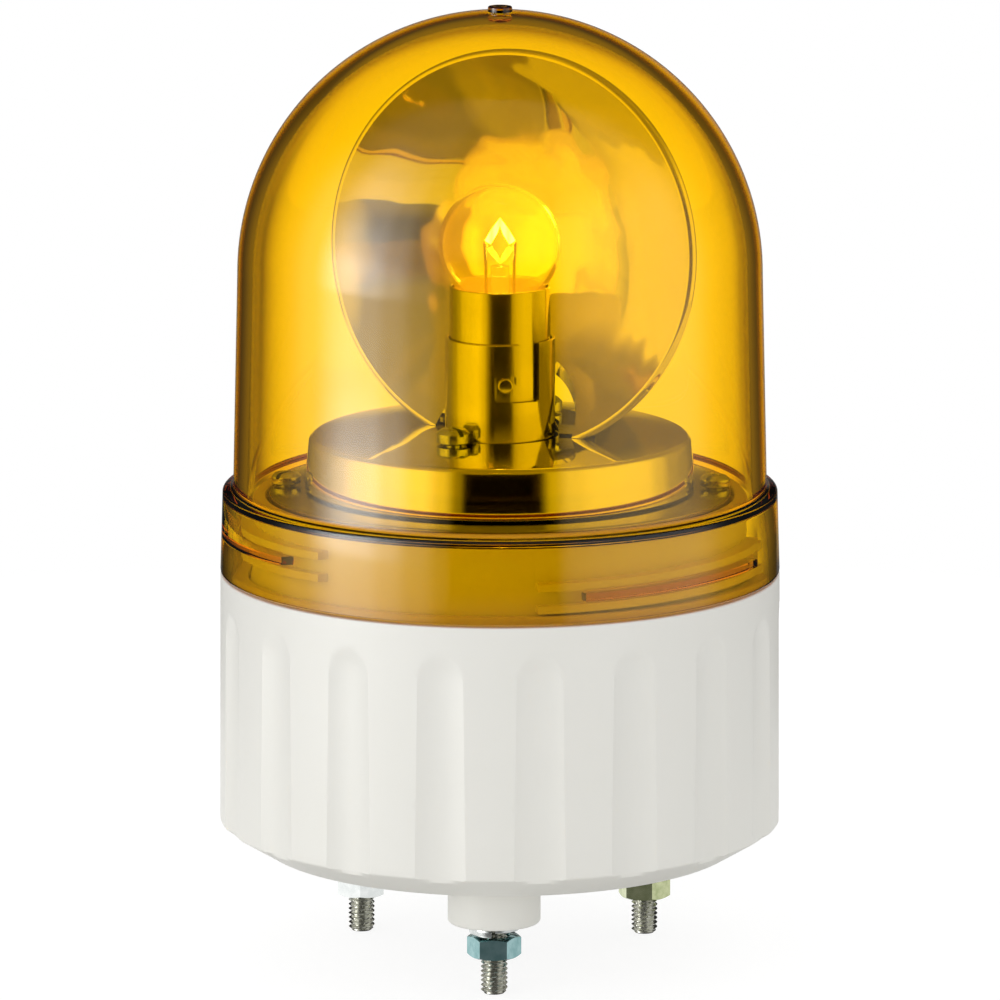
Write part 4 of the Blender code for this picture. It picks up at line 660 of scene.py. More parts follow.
def base_outline():
    """The wall's section. Its long outer edges are divided, so that the flutes can be pressed in."""
    inner_foot = WALL_FOOT_RADIUS - WALL_THICKNESS
    inner_top = BODY_RADIUS - WALL_THICKNESS
    shape = outline([
        (CABLE_HOLE_RADIUS, FLOOR_BOTTOM, EDGE_EASED), (FLOOR_RADIUS, FLOOR_BOTTOM, EDGE_FULL),
        (WALL_FOOT_RADIUS, WALL_FOOT, EDGE_FULL), (BODY_RADIUS, SEAM, EDGE_SOFT),
        (NECK_RADIUS, SEAM, EDGE_EASED), (NECK_RADIUS, NECK_TOP, EDGE_SOFT),
        (NECK_BORE_RADIUS, NECK_TOP, EDGE_SOFT),
        (NECK_BORE_RADIUS, SEAM - WALL_THICKNESS, EDGE_INSIDE),
        (inner_top, SEAM - 2 * WALL_THICKNESS, EDGE_INSIDE),
        (inner_foot, WALL_FOOT + WALL_THICKNESS, EDGE_INSIDE),
        (FLOOR_RADIUS - WALL_THICKNESS, FLOOR_TOP, EDGE_INSIDE),
        (CABLE_HOLE_RADIUS, FLOOR_TOP, EDGE_EASED),
    ])
    for edge in list(shape.edges):
        middle = (edge.verts[0].co + edge.verts[1].co) / 2
        length = edge.calc_length()
        if middle.x > BODY_RADIUS and length > SEAM / 2:
            bmesh.ops.subdivide_edges(shape, edges=[edge], cuts=WALL_ROWS)
        elif FLOOR_RADIUS < middle.x and middle.z < WALL_FOOT and length > WALL_THICKNESS:
            bmesh.ops.subdivide_edges(shape, edges=[edge], cuts=CHAMFER_ROWS)
    return shape


def press_flutes(shape):
    """Press the wall in to the face of upright round-ended cutters.

    The column of points nearest to a flute's edge slides onto it first, so that the edge is crisp.
    """
    pitch = math.tau / FLUTE_COUNT
    half_step = math.tau / BODY_STEPS / 2
    for vert in shape.verts:
        radius = math.hypot(vert.co.x, vert.co.y)
        if radius < BODY_RADIUS - WELD:
            continue
        angle = math.atan2(vert.co.y, vert.co.x) + math.pi / 2
        off = (angle % pitch) - pitch / 2
        above = max(vert.co.z - FLUTE_BALL_HEIGHT, 0.0)
        cut = FLUTE_RADIUS**2 - above**2
        cosine = (FLUTE_AXIS_RADIUS**2 + radius**2 - cut) / (2 * FLUTE_AXIS_RADIUS * radius)
        if cosine >= 1:
            continue
        edge = math.copysign(math.acos(cosine), off)
        floor = radius
        if abs(off - edge) <= half_step:
            angle += edge - off
        elif abs(off) < abs(edge):
            floor = FLUTE_AXIS_RADIUS * math.cos(off)
            floor -= math.sqrt(cut - (FLUTE_AXIS_RADIUS * math.sin(off)) ** 2)
        vert.co.x, vert.co.y = polar(floor, angle - math.pi / 2)


def thread_ribs(inner, outer, middle, turns, window):
    """Interrupted ribs on the thread's helix, centred in equal windows round the neck."""
    trim = (NECK_RIB_TURN - window) / 2
    ribs = []
    for turn in range(turns):
        for number in range(RIB_WINDOWS):
            height = middle + THREAD_PITCH * turn
            low, high = height - RIB_HEIGHT / 2, height + RIB_HEIGHT / 2
            start = RIB_FIRST_ANGLE + trim + math.tau * number / RIB_WINDOWS
            rib = swept(inner, outer, low, high, start, window, RIB_STEP, THREAD_PITCH)
            ribs.append(softened(rib, EDGE_TURNED))
    return ribs


def make_base(plastic):
    """The housing: cup, neck, foot bosses, posts and thread ribs, with the holes for its screws."""
    shape = spun(base_outline(), BODY_STEPS)
    press_flutes(shape)
    boss_top = FLOOR_BOTTOM + OVERLAP
    boss = [(0, 0), (FOOT_RADIUS, 0, EDGE_ROUND), (FOOT_RADIUS, boss_top), (0, boss_top)]
    recess = [
        (0, -OVERRUN), (FOOT_RECESS_RADIUS, -OVERRUN), (FOOT_RECESS_RADIUS, FOOT_RECESS_DEPTH),
        (STUD_HOLE_RADIUS, FOOT_RECESS_DEPTH), (STUD_HOLE_RADIUS, FLOOR_TOP + OVERRUN),
        (0, FLOOR_TOP + OVERRUN),
    ]
    feet = [(*polar(FOOT_CIRCLE_RADIUS, angle), 0) for angle in FOOT_ANGLES]
    posts = [(side * POST_CIRCLE_RADIUS, 0, 0) for side in (-1, 1)]
    block = (0, BLOCK_CIRCLE, 0)
    pedestal_top = FLOOR_TOP + PEDESTAL_HEIGHT
    joined = [moved(turned(boss), foot) for foot in feet]
    joined += [moved(rod(POST_RADIUS, FLOOR_TOP - OVERLAP, POST_TOP), post) for post in posts]
    joined.append(moved(rod(PEDESTAL_RADIUS, FLOOR_TOP - OVERLAP, pedestal_top), block))
    joined += thread_ribs(NECK_RADIUS - OVERLAP, NECK_RIB_RADIUS, NECK_RIB_MIDDLE, 2, NECK_RIB_TURN)
    shape = combined(shape, "UNION", *joined)
    post_bore = (POST_TOP - POST_HOLE_DEPTH, POST_TOP + OVERRUN)
    block_bore = (pedestal_top - PEDESTAL_HOLE_DEPTH, pedestal_top + OVERRUN)
    holes = [moved(turned(recess), foot) for foot in feet]
    holes += [moved(rod(POST_HOLE_RADIUS, *post_bore), post) for post in posts]
    holes.append(moved(rod(PEDESTAL_HOLE_RADIUS, *block_bore), block))
    shape = combined(shape, "DIFFERENCE", *holes)
    base = piece("base_moulding", shape, plastic, "base", "housing_plastic", "base_housing")
    base.data.set_sharp_from_angle(angle=FLUTE_EDGE_ANGLE)


# Globe


def arc(radius, centre, start, end, rings):
    """Points of a circle round a centre on the axis; a point on the axis is put exactly there."""
    points = []
    for ring in range(rings + 1):
        angle = start + (end - start) * ring / rings
        reach = radius * math.cos(angle)
        points.append((reach if reach > WELD else 0, centre + radius * math.sin(angle)))
    return points


def make_globe(amber):
    """The globe in one moulding: nub, dome, shoulder and skirt, with the thread's ribs inside."""
    nub_start = math.acos(NUB_RADIUS / DOME_RADIUS)
    outside = arc(DOME_RADIUS, DOME_CENTRE, nub_start, 0, DOME_RINGS)
    inside = arc(DOME_RADIUS - DOME_WALL, DOME_CENTRE, 0, math.pi / 2, DOME_RINGS)
    shape = turned(
        [
            (0, NUB_TOP - NUB_DIMPLE_DEPTH), (NUB_DIMPLE_RADIUS, NUB_TOP, EDGE_SOFT),
            (NUB_RADIUS, NUB_TOP, EDGE_DOMED), *outside,
            (DOME_FOOT_RADIUS, DOME_FOOT, EDGE_WIDE), (SKIRT_TOP_RADIUS, SKIRT_TOP, EDGE_FULL),
            (BODY_RADIUS, GLOBE_BOTTOM, EDGE_SOFT), (SKIRT_BORE_RADIUS, GLOBE_BOTTOM, EDGE_EASED),
            (SKIRT_BORE_RADIUS, SKIRT_ROOF, EDGE_ROUND),
            (DOME_FOOT_RADIUS - DOME_WALL, SKIRT_ROOF, EDGE_FULL), *inside,
        ],
        GLOBE_STEPS,
    )
    ribs = thread_ribs(
        GLOBE_RIB_RADIUS, SKIRT_BORE_RADIUS + OVERLAP, GLOBE_RIB_MIDDLE, 1, GLOBE_RIB_TURN
    )
    piece("globe_moulding", combined(shape, "UNION", *ribs), amber, "globe", "amber_globe", "globe")


def make_gasket(rubber):
    """The seal ring between the globe's foot and the base."""
    inner, outer = NECK_RADIUS + SEAT_GAP, SKIRT_BORE_RADIUS - SEAT_GAP
    corners = ((inner, GLOBE_BOTTOM), (outer, GLOBE_BOTTOM), (outer, GASKET_TOP), (inner, GASKET_TOP))
    shape = turned([(*corner, EDGE_SOFT) for corner in corners], GLOBE_STEPS)
    piece("seal_ring", shape, rubber, "gasket", "natural_silicone", "globe_gasket")


# Deck


def slotted_head(radius, height, shank, length, turn, at):
    """A pan-head screw with a domed head and a slot across it."""
    crown = height * HEAD_CROWN
    reach = radius + OVERRUN
    half = radius * HEAD_SLOT_HALF
    body = turned([
        (0, -length), (shank, -length, EDGE_EASED), (shank, 0), (radius, 0, EDGE_SHEARED),
        (radius, height - crown, EDGE_EASED), (radius - crown, height, crown), (0, height),
    ])
    slot = prism(
        [(-reach, -half), (reach, -half), (reach, half), (-reach, half)],
        height * HEAD_SLOT_FLOOR, height + OVERRUN,
    )
    return moved(combined(body, "DIFFERENCE", slot), at, turn)


def make_deck(steel, zinc):
    """The plate under the drum, drilled for what it carries, and its two screws."""
    low, high = DECK_BOTTOM - OVERRUN, DECK_TOP + OVERRUN
    plate = turned(
        [
            (DECK_HOLE_RADIUS, DECK_BOTTOM), (DECK_RADIUS, DECK_BOTTOM, EDGE_TURNED),
            (DECK_RADIUS, DECK_TOP, EDGE_SOFT), (DECK_HOLE_RADIUS, DECK_TOP, EDGE_SHEARED),
        ],
        GLOBE_STEPS,
    )
    holes = [moved(rod(MOTOR_BOSS_HOLE, low, high), (0, MOTOR_CIRCLE, 0))]
    for side in (-1, 1):
        holes += [
            moved(rod(radius, low, high), (side * across, along, 0))
            for radius, across, along in (
                (POST_HOLE_RADIUS, POST_CIRCLE_RADIUS, 0),
                (MOTOR_SCREW_HOLE, MOTOR_SCREW_SPREAD, MOTOR_CIRCLE),
                (BRACKET_SCREW_HOLE, BRACKET_SCREW_REACH, 0),
            )
        ]
    piece("deck_disc", combined(plate, "DIFFERENCE", *holes), steel, "base", "dark_steel", "deck_plate")
    for side, name in ((1, "right"), (-1, "left")):
        screw = slotted_head(
            DECK_SCREW_HEAD_RADIUS, DECK_SCREW_HEAD_HEIGHT, DECK_SCREW_RADIUS, DECK_SCREW_LENGTH,
            DECK_SLOT_TURN, (side * POST_CIRCLE_RADIUS, 0, DECK_TOP + SEAT_GAP),
        )
        piece(f"deck_fixing_{name}", screw, zinc, "base", "zinc_steel", f"deck_screw_{name}")


# Rotor


def make_drum(mirror, zinc):
    """The drum, which reflects the dish in its top, and the two screws that hold dish and drum."""
    shape = turned(
        [
            (DRUM_HOLE_RADIUS, DRUM_ROOF_BOTTOM),
            (DRUM_TOP_RADIUS - DRUM_WALL, DRUM_ROOF_BOTTOM, EDGE_FULL),
            (DRUM_FOOT_RADIUS - DRUM_WALL, DRUM_BOTTOM, EDGE_SHEARED),
            (DRUM_FOOT_RADIUS, DRUM_BOTTOM, EDGE_EASED), (DRUM_TOP_RADIUS, DRUM_TOP, DRUM_CORNER_RADIUS),
            (DRUM_HOLE_RADIUS, DRUM_TOP, EDGE_TURNED),
        ],
        GLOBE_STEPS, CORNER_SEGMENTS,
    )
    low, high = DRUM_ROOF_BOTTOM - OVERRUN, DRUM_TOP + OVERRUN
    holes = [
        moved(rod(SCREW_HOLE_RADIUS, low, high), (*polar(ROTOR_SCREW_CIRCLE, angle), 0))
        for angle in ROTOR_SCREW_ANGLES
    ]
    shape = combined(shape, "DIFFERENCE", *holes)
    piece("drum_cap", shape, mirror, "rotor", "mirror_plating", "rotor_drum")
    seats = (FLANGE_BOTTOM, FLANGE_BOTTOM + FLANGE_THICKNESS + SEAT_GAP)
    for name, angle, seat in zip(("front", "back"), ROTOR_SCREW_ANGLES, seats):
        screw = slotted_head(
            ROTOR_SCREW_HEAD_RADIUS, ROTOR_SCREW_HEAD_HEIGHT, ROTOR_SCREW_RADIUS,
            seat - HUB_TOP + ROTOR_SCREW_BITE, angle + ROTOR_SLOT_TURN,
            (*polar(ROTOR_SCREW_CIRCLE, angle), seat),
        )
        piece(f"rotor_fixing_{name}", screw, zinc, "rotor", "zinc_steel", f"rotor_screw_{name}")


def make_reflector(mirror):
    """The dish, a bowl set upright and cut off above the drum and round the socket, with its flange."""
    mouth = RIM_RADIUS - RIM_LIP
    shares = [ring / DISH_RINGS for ring in range(DISH_RINGS + 1)]
    front = [(mouth * share, DISH_DEPTH * (share**2 - 1)) for share in shares]
    back = [(RIM_RADIUS * share, DISH_DEPTH * (share**2 - 1) - DISH_WALL) for share in reversed(shares)]
    dish = turned([*front, (RIM_RADIUS, 0, EDGE_WIDE), *back], DISH_STEPS)
    away = polar(-RIM_SET_BACK, REFLECTOR_TURN - math.pi / 2)
    dish.transform(
        Matrix.Translation((*away, RIM_CENTRE_HEIGHT)) @ Matrix.Rotation(REFLECTOR_TURN, 4, "Z")
        @ Matrix.Rotation(math.pi / 2 - REFLECTOR_LEAN, 4, "X")
    )
    reach = 2 * RIM_RADIUS
    square = [(-reach, -reach), (reach, -reach), (reach, reach), (-reach, reach)]
    dish = combined(dish, "DIFFERENCE", prism(square, DISH_FOOT - reach, DISH_FOOT))
    well = rod(DISH_SOCKET_HOLE_RADIUS, DISH_FOOT - OVERRUN, DISH_HOLE_TOP, TUBE_STEPS)
    dish = combined(dish, "DIFFERENCE", well)
    top = FLANGE_BOTTOM + FLANGE_THICKNESS
    flange = swept(
        FLANGE_INNER_RADIUS, FLANGE_OUTER_RADIUS, FLANGE_BOTTOM, top,
        REFLECTOR_TURN + math.pi / 2 - FLANGE_TURN / 2, FLANGE_TURN, FLANGE_STEP,
    )
    dish = combined(dish, "UNION", flange)
    hole = rod(SCREW_HOLE_RADIUS, DISH_FOOT - OVERRUN, top + OVERRUN)
    hole = moved(hole, (*polar(ROTOR_SCREW_CIRCLE, ROTOR_SCREW_ANGLES[1]), 0))
    dish = combined(dish, "DIFFERENCE", hole)
    piece("dish_moulding", dish, mirror, "rotor", "mirror_plating", "reflector")


# Socket


def bayonet_cutter(pin_angle):
    """The J-shaped slot as a body across the tube's wall: drawn flat, rounded, then wrapped round."""
    half = SLOT_WIDTH / 2
    entry = SLOT_TURN * TUBE_RADIUS
    over = TUBE_TOP + OVERRUN
    corners = [
        (half, SLOT_HOOK_TOP), (-half, SLOT_HOOK_TOP), (-half, SLOT_FLOOR), (entry + half, SLOT_FLOOR),
        (entry + half, over), (entry - half, over), (entry - half, SLOT_NOSE), (half, SLOT_NOSE),
    ]
    shape = bmesh.new()
    verts = [shape.verts.new((across, 0, height)) for across, height in corners]
    shape.faces.new(verts)
    rounded(shape, [vert for vert in verts if vert.co.z < TUBE_TOP], SLOT_FILLET)
    thickened(shape, (0, 2 * OVERRUN, 0))
    for vert in shape.verts:
        angle = pin_angle + vert.co.x / TUBE_RADIUS
        vert.co.x, vert.co.y = polar(TUBE_RADIUS - OVERRUN + vert.co.y, angle)
    bmesh.ops.triangulate(shape, faces=[face for face in shape.faces if len(face.verts) > 4])
    return closed(shape)


def make_socket(nickel):
    """The drawn tube that holds the bulb, with its two J slots."""
    tube = turned(
        [
            (TUBE_BORE_RADIUS, TUBE_BOTTOM), (TUBE_RADIUS, TUBE_BOTTOM, EDGE_TURNED),
            (TUBE_RADIUS, TUBE_TOP, EDGE_TURNED), (TUBE_BORE_RADIUS, TUBE_TOP, EDGE_TURNED),
        ],
        TUBE_STEPS,
    )
    slots = [bayonet_cutter(angle) for angle in (PIN_ANGLE, PIN_ANGLE + math.pi)]
    tube = combined(tube, "DIFFERENCE", *slots)
    piece("bayonet_tube", tube, nickel, "base", "nickel_plate", "socket_tube")


# Bulb


def make_bulb(glass, nickel, tungsten):
    """The bulb: its glass with a neck, its cap with two pins, and the filament."""
    inner = GLASS_RADIUS - GLASS_WALL
    neck_inner = GLASS_NECK_RADIUS - GLASS_WALL
    start = -math.acos(GLASS_NECK_RADIUS / GLASS_RADIUS)
    inner_start = -math.acos(neck_inner / inner)
    outside = arc(GLASS_RADIUS, GLASS_CENTRE, start, math.pi / 2, GLASS_RINGS)
    inside = arc(inner, GLASS_CENTRE, math.pi / 2, inner_start, GLASS_RINGS)
    envelope = turned(
        [*inside, (neck_inner, GLASS_NECK_BOTTOM), (GLASS_NECK_RADIUS, GLASS_NECK_BOTTOM), *outside],
        TUBE_STEPS,
    )
    piece("bulb_envelope", envelope, glass, "bulb", "bulb_glass", "bulb_glass")
    bore = CAP_RADIUS - CAP_WALL
    cap = turned(
        [
            (bore, CAP_BOTTOM), (CAP_RADIUS, CAP_BOTTOM, EDGE_SOFT),
            (CAP_RADIUS, CAP_TOP, EDGE_TURNED), (bore, CAP_TOP, EDGE_TURNED),
        ],
        TUBE_STEPS,
    )
    pins = []
    for angle in (PIN_ANGLE, PIN_ANGLE + math.pi):
        pin = turned([(0, bore), (PIN_RADIUS, bore), (PIN_RADIUS, PIN_REACH, EDGE_DOMED), (0, PIN_REACH)])
        pin.transform(
            Matrix.Translation((0, 0, PIN_HEIGHT)) @ Matrix.Rotation(angle, 4, "Z")
            @ Matrix.Rotation(math.pi / 2, 4, "Y")
        )
        pins.append(pin)
    piece("bulb_shell", combined(cap, "UNION", *pins), nickel, "bulb", "nickel_plate", "bulb_cap")
    crown = [
        (FILAMENT_SPREAD * across, 0, FILAMENT_FOOT + FILAMENT_RISE * (1 - abs(across)))
        for across in (-1, -0.5, 0, 0.5, 1)
    ]
    piece("filament_coil", wire(crown, FILAMENT_RADIUS), tungsten, "bulb", "tungsten", "filament")


# Fixings


def hexagon_bar(low, high):
    """A hexagonal bar with its corners turned off by a cone at both ends."""
    reach = ACROSS_FLATS / math.sqrt(3)
    bar = prism([polar(reach, math.tau * corner / 6) for corner in range(6)], low, high)
    over = ACROSS_FLATS / 2 + OVERRUN
    fall = OVERRUN * math.tan(NUT_CHAMFER)
    cone = turned([
        (0, low), (NUT_FACE, low), (over, low + fall), (over, high - fall), (NUT_FACE, high), (0, high),
    ])
    return combined(bar, "INTERSECT", cone)


def threaded_stud():
    """The screw's shank: a lathed rod whose surface is moved in along the thread's helix."""
    shape = outline([
        (0, STUD_BOTTOM), (STUD_RADIUS, STUD_BOTTOM), (STUD_RADIUS, STUD_HEAD_BOTTOM + OVERLAP),
        (0, STUD_HEAD_BOTTOM + OVERLAP),
    ])
    side = max(shape.edges, key=lambda edge: edge.calc_length())
    rows = round((STUD_HEAD_BOTTOM - STUD_BOTTOM) / STUD_PITCH * ROWS_PER_THREAD)
    bmesh.ops.subdivide_edges(shape, edges=[side], cuts=rows)
    spun(shape, SMALL_STEPS)
    depth = STUD_RADIUS - STUD_ROOT_RADIUS
    for vert in shape.verts:
        radius = math.hypot(vert.co.x, vert.co.y)
        if radius < STUD_RADIUS - WELD:
            continue
        turn = math.atan2(vert.co.y, vert.co.x) / math.tau
        phase = (vert.co.z / STUD_PITCH - turn) % 1
        groove = min(max(2 * abs(phase - 0.5) * THREAD_SLOPE - THREAD_CREST, 0), 1)
        fade = min(max((STUD_THREAD_TOP - vert.co.z) / STUD_PITCH, 0), 1)
        tip = STUD_RADIUS - STUD_TIP_CHAMFER + max(vert.co.z - STUD_BOTTOM, 0)
        pressed = min(STUD_RADIUS - depth * groove * fade, tip)
        vert.co.x *= pressed / radius
        vert.co.y *= pressed / radius
    return shape


def make_fixings(steel, washer_zinc, finishes):
    """Each foot's screw, nut and spring washer."""
    wide = STUD_HOLE_RADIUS + OVERRUN
    turn = math.tau - WASHER_GAP_TURN
    low = WASHER_BOTTOM + WASHER_RISE
    high = low + WASHER_THICKNESS
    for name, angle, nut_turn, zinc in zip(FOOT_NAMES, FOOT_ANGLES, NUT_TURNS, finishes):
        at = (*polar(FOOT_CIRCLE_RADIUS, angle), 0)
        screw = combined(threaded_stud(), "UNION", hexagon_bar(STUD_HEAD_BOTTOM, STUD_HEAD_TOP))
        screw = moved(screw, at)
        piece(f"fixing_screw_{name}", screw, steel, "base", "zinc_steel", f"mounting_screw_{name}")
        bore = turned([
            (0, NUT_BOTTOM - OVERRUN), (wide, NUT_BOTTOM - OVERRUN),
            (STUD_HOLE_RADIUS, NUT_BOTTOM + EDGE_EASED), (STUD_HOLE_RADIUS, NUT_TOP - EDGE_EASED),
            (wide, NUT_TOP + OVERRUN), (0, NUT_TOP + OVERRUN),
        ])
        nut = moved(combined(hexagon_bar(NUT_BOTTOM, NUT_TOP), "DIFFERENCE", bore), at, nut_turn)
        piece(f"fixing_nut_{name}", nut, zinc, "base", "zinc_steel", f"hex_nut_{name}")
        washer = swept(
            WASHER_BORE_RADIUS, WASHER_RADIUS, low, high, 0, turn, WASHER_STEP,
            -WASHER_RISE * math.tau / turn,
        )
        washer = moved(softened(washer, WASHER_EDGE), at, angle + WASHER_GAP_TURN / 2)
        piece(
            f"lock_washer_{name}", washer, washer_zinc, "base", "zinc_steel", f"spring_washer_{name}"
        )


# Finishes of the CAD nodes that are shown as they are


def make_shortened(finishes):
    """The contact's spring and lead as copies with meshes of their own, in place of the CAD nodes."""
    for node, name, foot in SHORTENED:
        shape = bmesh.new()
        shape.from_mesh(frame["nodes"][node].data)
        bmesh.ops.remove_doubles(shape, verts=shape.verts, dist=WELD)
        copy = piece(name, shape, finishes[SLOTS[node]], "base", SLOTS[node], node)
        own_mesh(copy)


def finish_frame(finishes):
    """Give every CAD node that is still shown the finish of its material slot."""
    for name, thing in frame["nodes"].items():
        if not thing.hide_render:
            thing.data.materials.clear()
            thing.data.materials.append(finishes[SLOTS[name]])


# Stage

CAMERA_PLACE = (0.04326, -1.23884, 0.3066)
CAMERA_TILT = math.radians(78.69)
CAMERA_TURN = math.radians(2)
CAMERA_LENS = 303.3
CAMERA_SENSOR = 36.0
CAMERA_NEAR = 0.05

# Brightness of the studio by direction, as (degrees, level) stops. Turns are azimuths counted from the
# camera's side, and heights are angles above the level. Turns and heights of one thing are multiplied.
WALL_TURNS = (
    (-180, 0.05), (-160, 0.12), (-140, 0.3), (-122, 0.4), (-105, 0.65), (-90, 1.2), (-75, 1.4),
    (-45, 1.6), (-32, 1.15), (-22, 0.35), (-17, 0.0), (24, 0.0), (33, 0.8), (45, 1.15), (60, 1.35),
    (95, 1.35), (110, 0.95), (122, 0.5), (140, 0.35), (160, 0.15), (180, 0.05),
)
WALL_HEIGHTS = ((-90, 0.5), (-40, 0.8), (-20, 1.0), (22, 1.0), (45, 0.45), (90, 0.25))

# Floor and ceiling, which fill the dark sides above and below
FILL_HEIGHTS = (
    (-90, 0.9), (-34, 0.9), (-22, 0.3), (-9, 0.0), (9, 0.0), (20, 0.3), (45, 0.35), (90, 0.35),
)

# The bright table behind the object, which fades out just above the level
TABLE_TURNS = ((-180, 1.25), (-171, 1.25), (-161, 0.0), (161, 0.0), (171, 1.25), (180, 1.25))
TABLE_HEIGHTS = ((-90, 1.0), (1, 1.0), (10, 0.0), (90, 0.0))

# How much of all that a reflection straight off an outer surface keeps, and the soft box it adds
GLOSS_TURNS = ((-180, 0.1), (-112, 0.1), (-84, 0.6), (84, 0.6), (112, 0.1), (180, 0.1))
SOFTBOX_TURNS = (
    (-180, 0.0), (-88, 0.0), (-66, 1.0), (-56, 0.86), (-46, 0.4), (-34, 0.06), (-22, 0.0), (180, 0.0),
)
SOFTBOX_HEIGHTS = (
    (-90, 0.0), (-60, 0.0), (-35, 0.45), (-12, 0.5), (-4.7, 0.62), (-4.2, 0.88), (-3.5, 1.2), (5, 1.45),
    (14, 0.95), (28, 0.48), (60, 0.0),
)
SOFTBOX_LEVEL = 4.9
SKY_LEVEL = 0.8

# Floor
FLOOR_HEIGHT = -11.0 * MM
FLOOR_REACH = 290 * MM
FLOOR_STEPS = 96
FLOOR_SHADE = 0.2
FLOOR_GLOW = 1.08
FADE_START = 60 * MM
FADE_END = 0.9 * FLOOR_REACH

# Lamp
LAMP_PLACE = (-0.74, -0.76, 0.36)
LAMP_AIM = (0, 0, 0.05)
LAMP_SIZE = (0.4, 0.7)
LAMP_POWER = 1.95

# Card round the feet: its brightness by azimuth, as above
CARD_TURNS = ((-180, 1.1), (-50, 1.1), (-26, 0.2), (26, 0.2), (45, 0.9), (180, 0.9))
CARD_RADIUS = 150 * MM
CARD_TOP = -2 * MM
CARD_BOTTOM = -90 * MM


def levels(tree, angle, stops):
    """A smooth curve of brightness through (degrees, level) stops, read at an angle in radians."""
    place = add(tree, "ShaderNodeMapRange", {"Value": angle, "From Min": -math.pi, "From Max": math.pi})
    ramp = add(tree, "ShaderNodeValToRGB", {0: place.outputs[0]})
    ramp.color_ramp.interpolation = "EASE"
    peak = max(level for _, level in stops)
    elements = ramp.color_ramp.elements
    for number, (degrees, level) in enumerate(stops):
        share = (degrees + 180) / 360
        stop = elements[number] if number < 2 else elements.new(share)
        stop.position = share
        stop.color = (level / peak, level / peak, level / peak, 1)
    return add(tree, "ShaderNodeMath", {0: ramp.outputs[0], 1: peak}, operation="MULTIPLY").outputs[0]


def azimuth_of(tree, parts):
    """The azimuth of a direction's parts in radians, counted from the camera's side."""
    towards = add(tree, "ShaderNodeMath", {0: parts[1], 1: -1.0}, operation="MULTIPLY").outputs[0]
    return add(tree, "ShaderNodeMath", {0: parts[0], 1: towards}, operation="ARCTAN2").outputs[0]


def seen_in_gloss_or_glass(tree, path):
    """1 for a ray that a glossy or clear surface sends on, otherwise 0."""
    rays = {0: path["Is Glossy Ray"], 1: path["Is Transmission Ray"]}
    return add(tree, "ShaderNodeMath", rays, operation="MAXIMUM").outputs[0]


def make_world():
    """The studio that mirrors and glass show: pale walls, a dark camera side and a table behind.

    A reflection straight off an outer surface shows it dimmer, with a soft box at the left front that
    leaves a veil on the dome. Matt surfaces get an even light, and the camera sees white.
    """
    world = bpy.data.worlds.new("studio")
    bpy.context.scene.world = world
    world.use_nodes = True
    tree = world.node_tree
    direction = add(tree, "ShaderNodeTexCoord").outputs["Generated"]
    parts = add(tree, "ShaderNodeSeparateXYZ", {0: direction}).outputs
    turn = azimuth_of(tree, parts)
    height = add(tree, "ShaderNodeMath", {0: parts[2]}, operation="ARCSINE").outputs[0]
    walls, table, box = (
        add(
            tree, "ShaderNodeMath", {0: levels(tree, turn, turns), 1: levels(tree, height, heights)},
            operation="MULTIPLY",
        ).outputs[0]
        for turns, heights in (
            (WALL_TURNS, WALL_HEIGHTS), (TABLE_TURNS, TABLE_HEIGHTS), (SOFTBOX_TURNS, SOFTBOX_HEIGHTS),
        )
    )
    room = walls
    for part in (levels(tree, height, FILL_HEIGHTS), table):
        room = add(tree, "ShaderNodeMath", {0: room, 1: part}, operation="MAXIMUM").outputs[0]
    path = add(tree, "ShaderNodeLightPath").outputs
    shine = add(
        tree, "ShaderNodeMath", {0: path["Is Glossy Ray"], 1: path["Is Transmission Ray"]},
        operation="SUBTRACT", use_clamp=True,
    ).outputs[0]
    kept = levels(tree, turn, GLOSS_TURNS)
    dimmed = add(tree, "ShaderNodeMath", {0: room, 1: kept}, operation="MULTIPLY").outputs[0]
    room = add(tree, "ShaderNodeMix", {0: shine, 2: room, 3: dimmed}).outputs[0]
    lit = add(tree, "ShaderNodeMath", {0: shine, 1: SOFTBOX_LEVEL}, operation="MULTIPLY").outputs[0]
    total = add(tree, "ShaderNodeMath", {0: box, 1: lit, 2: room}, operation="MULTIPLY_ADD").outputs[0]
    studio, sky, white = (
        add(tree, "ShaderNodeBackground", {"Color": linear("#ffffff"), "Strength": strength}).outputs[0]
        for strength in (total, SKY_LEVEL, 1.0)
    )
    plain = add(tree, "ShaderNodeMixShader", {0: path["Is Camera Ray"], 1: sky, 2: white}).outputs[0]
    seen = seen_in_gloss_or_glass(tree, path)
    whole = add(tree, "ShaderNodeMixShader", {0: seen, 1: plain, 2: studio}).outputs[0]
    feed(tree, tree.nodes["World Output"], {"Surface": whole})


def stage_piece(name, shape, height, material_name):
    """A piece of the stage at a height, with the tree and the output of its still empty material."""
    thing = placed(meshed(shape, name), name)
    thing.location = (0, 0, height)
    material = bpy.data.materials.new(material_name)
    material.use_nodes = True
    tree = material.node_tree
    tree.nodes.remove(tree.nodes["Principled BSDF"])
    thing.data.materials.append(material)
    return thing, tree, tree.nodes["Material Output"]


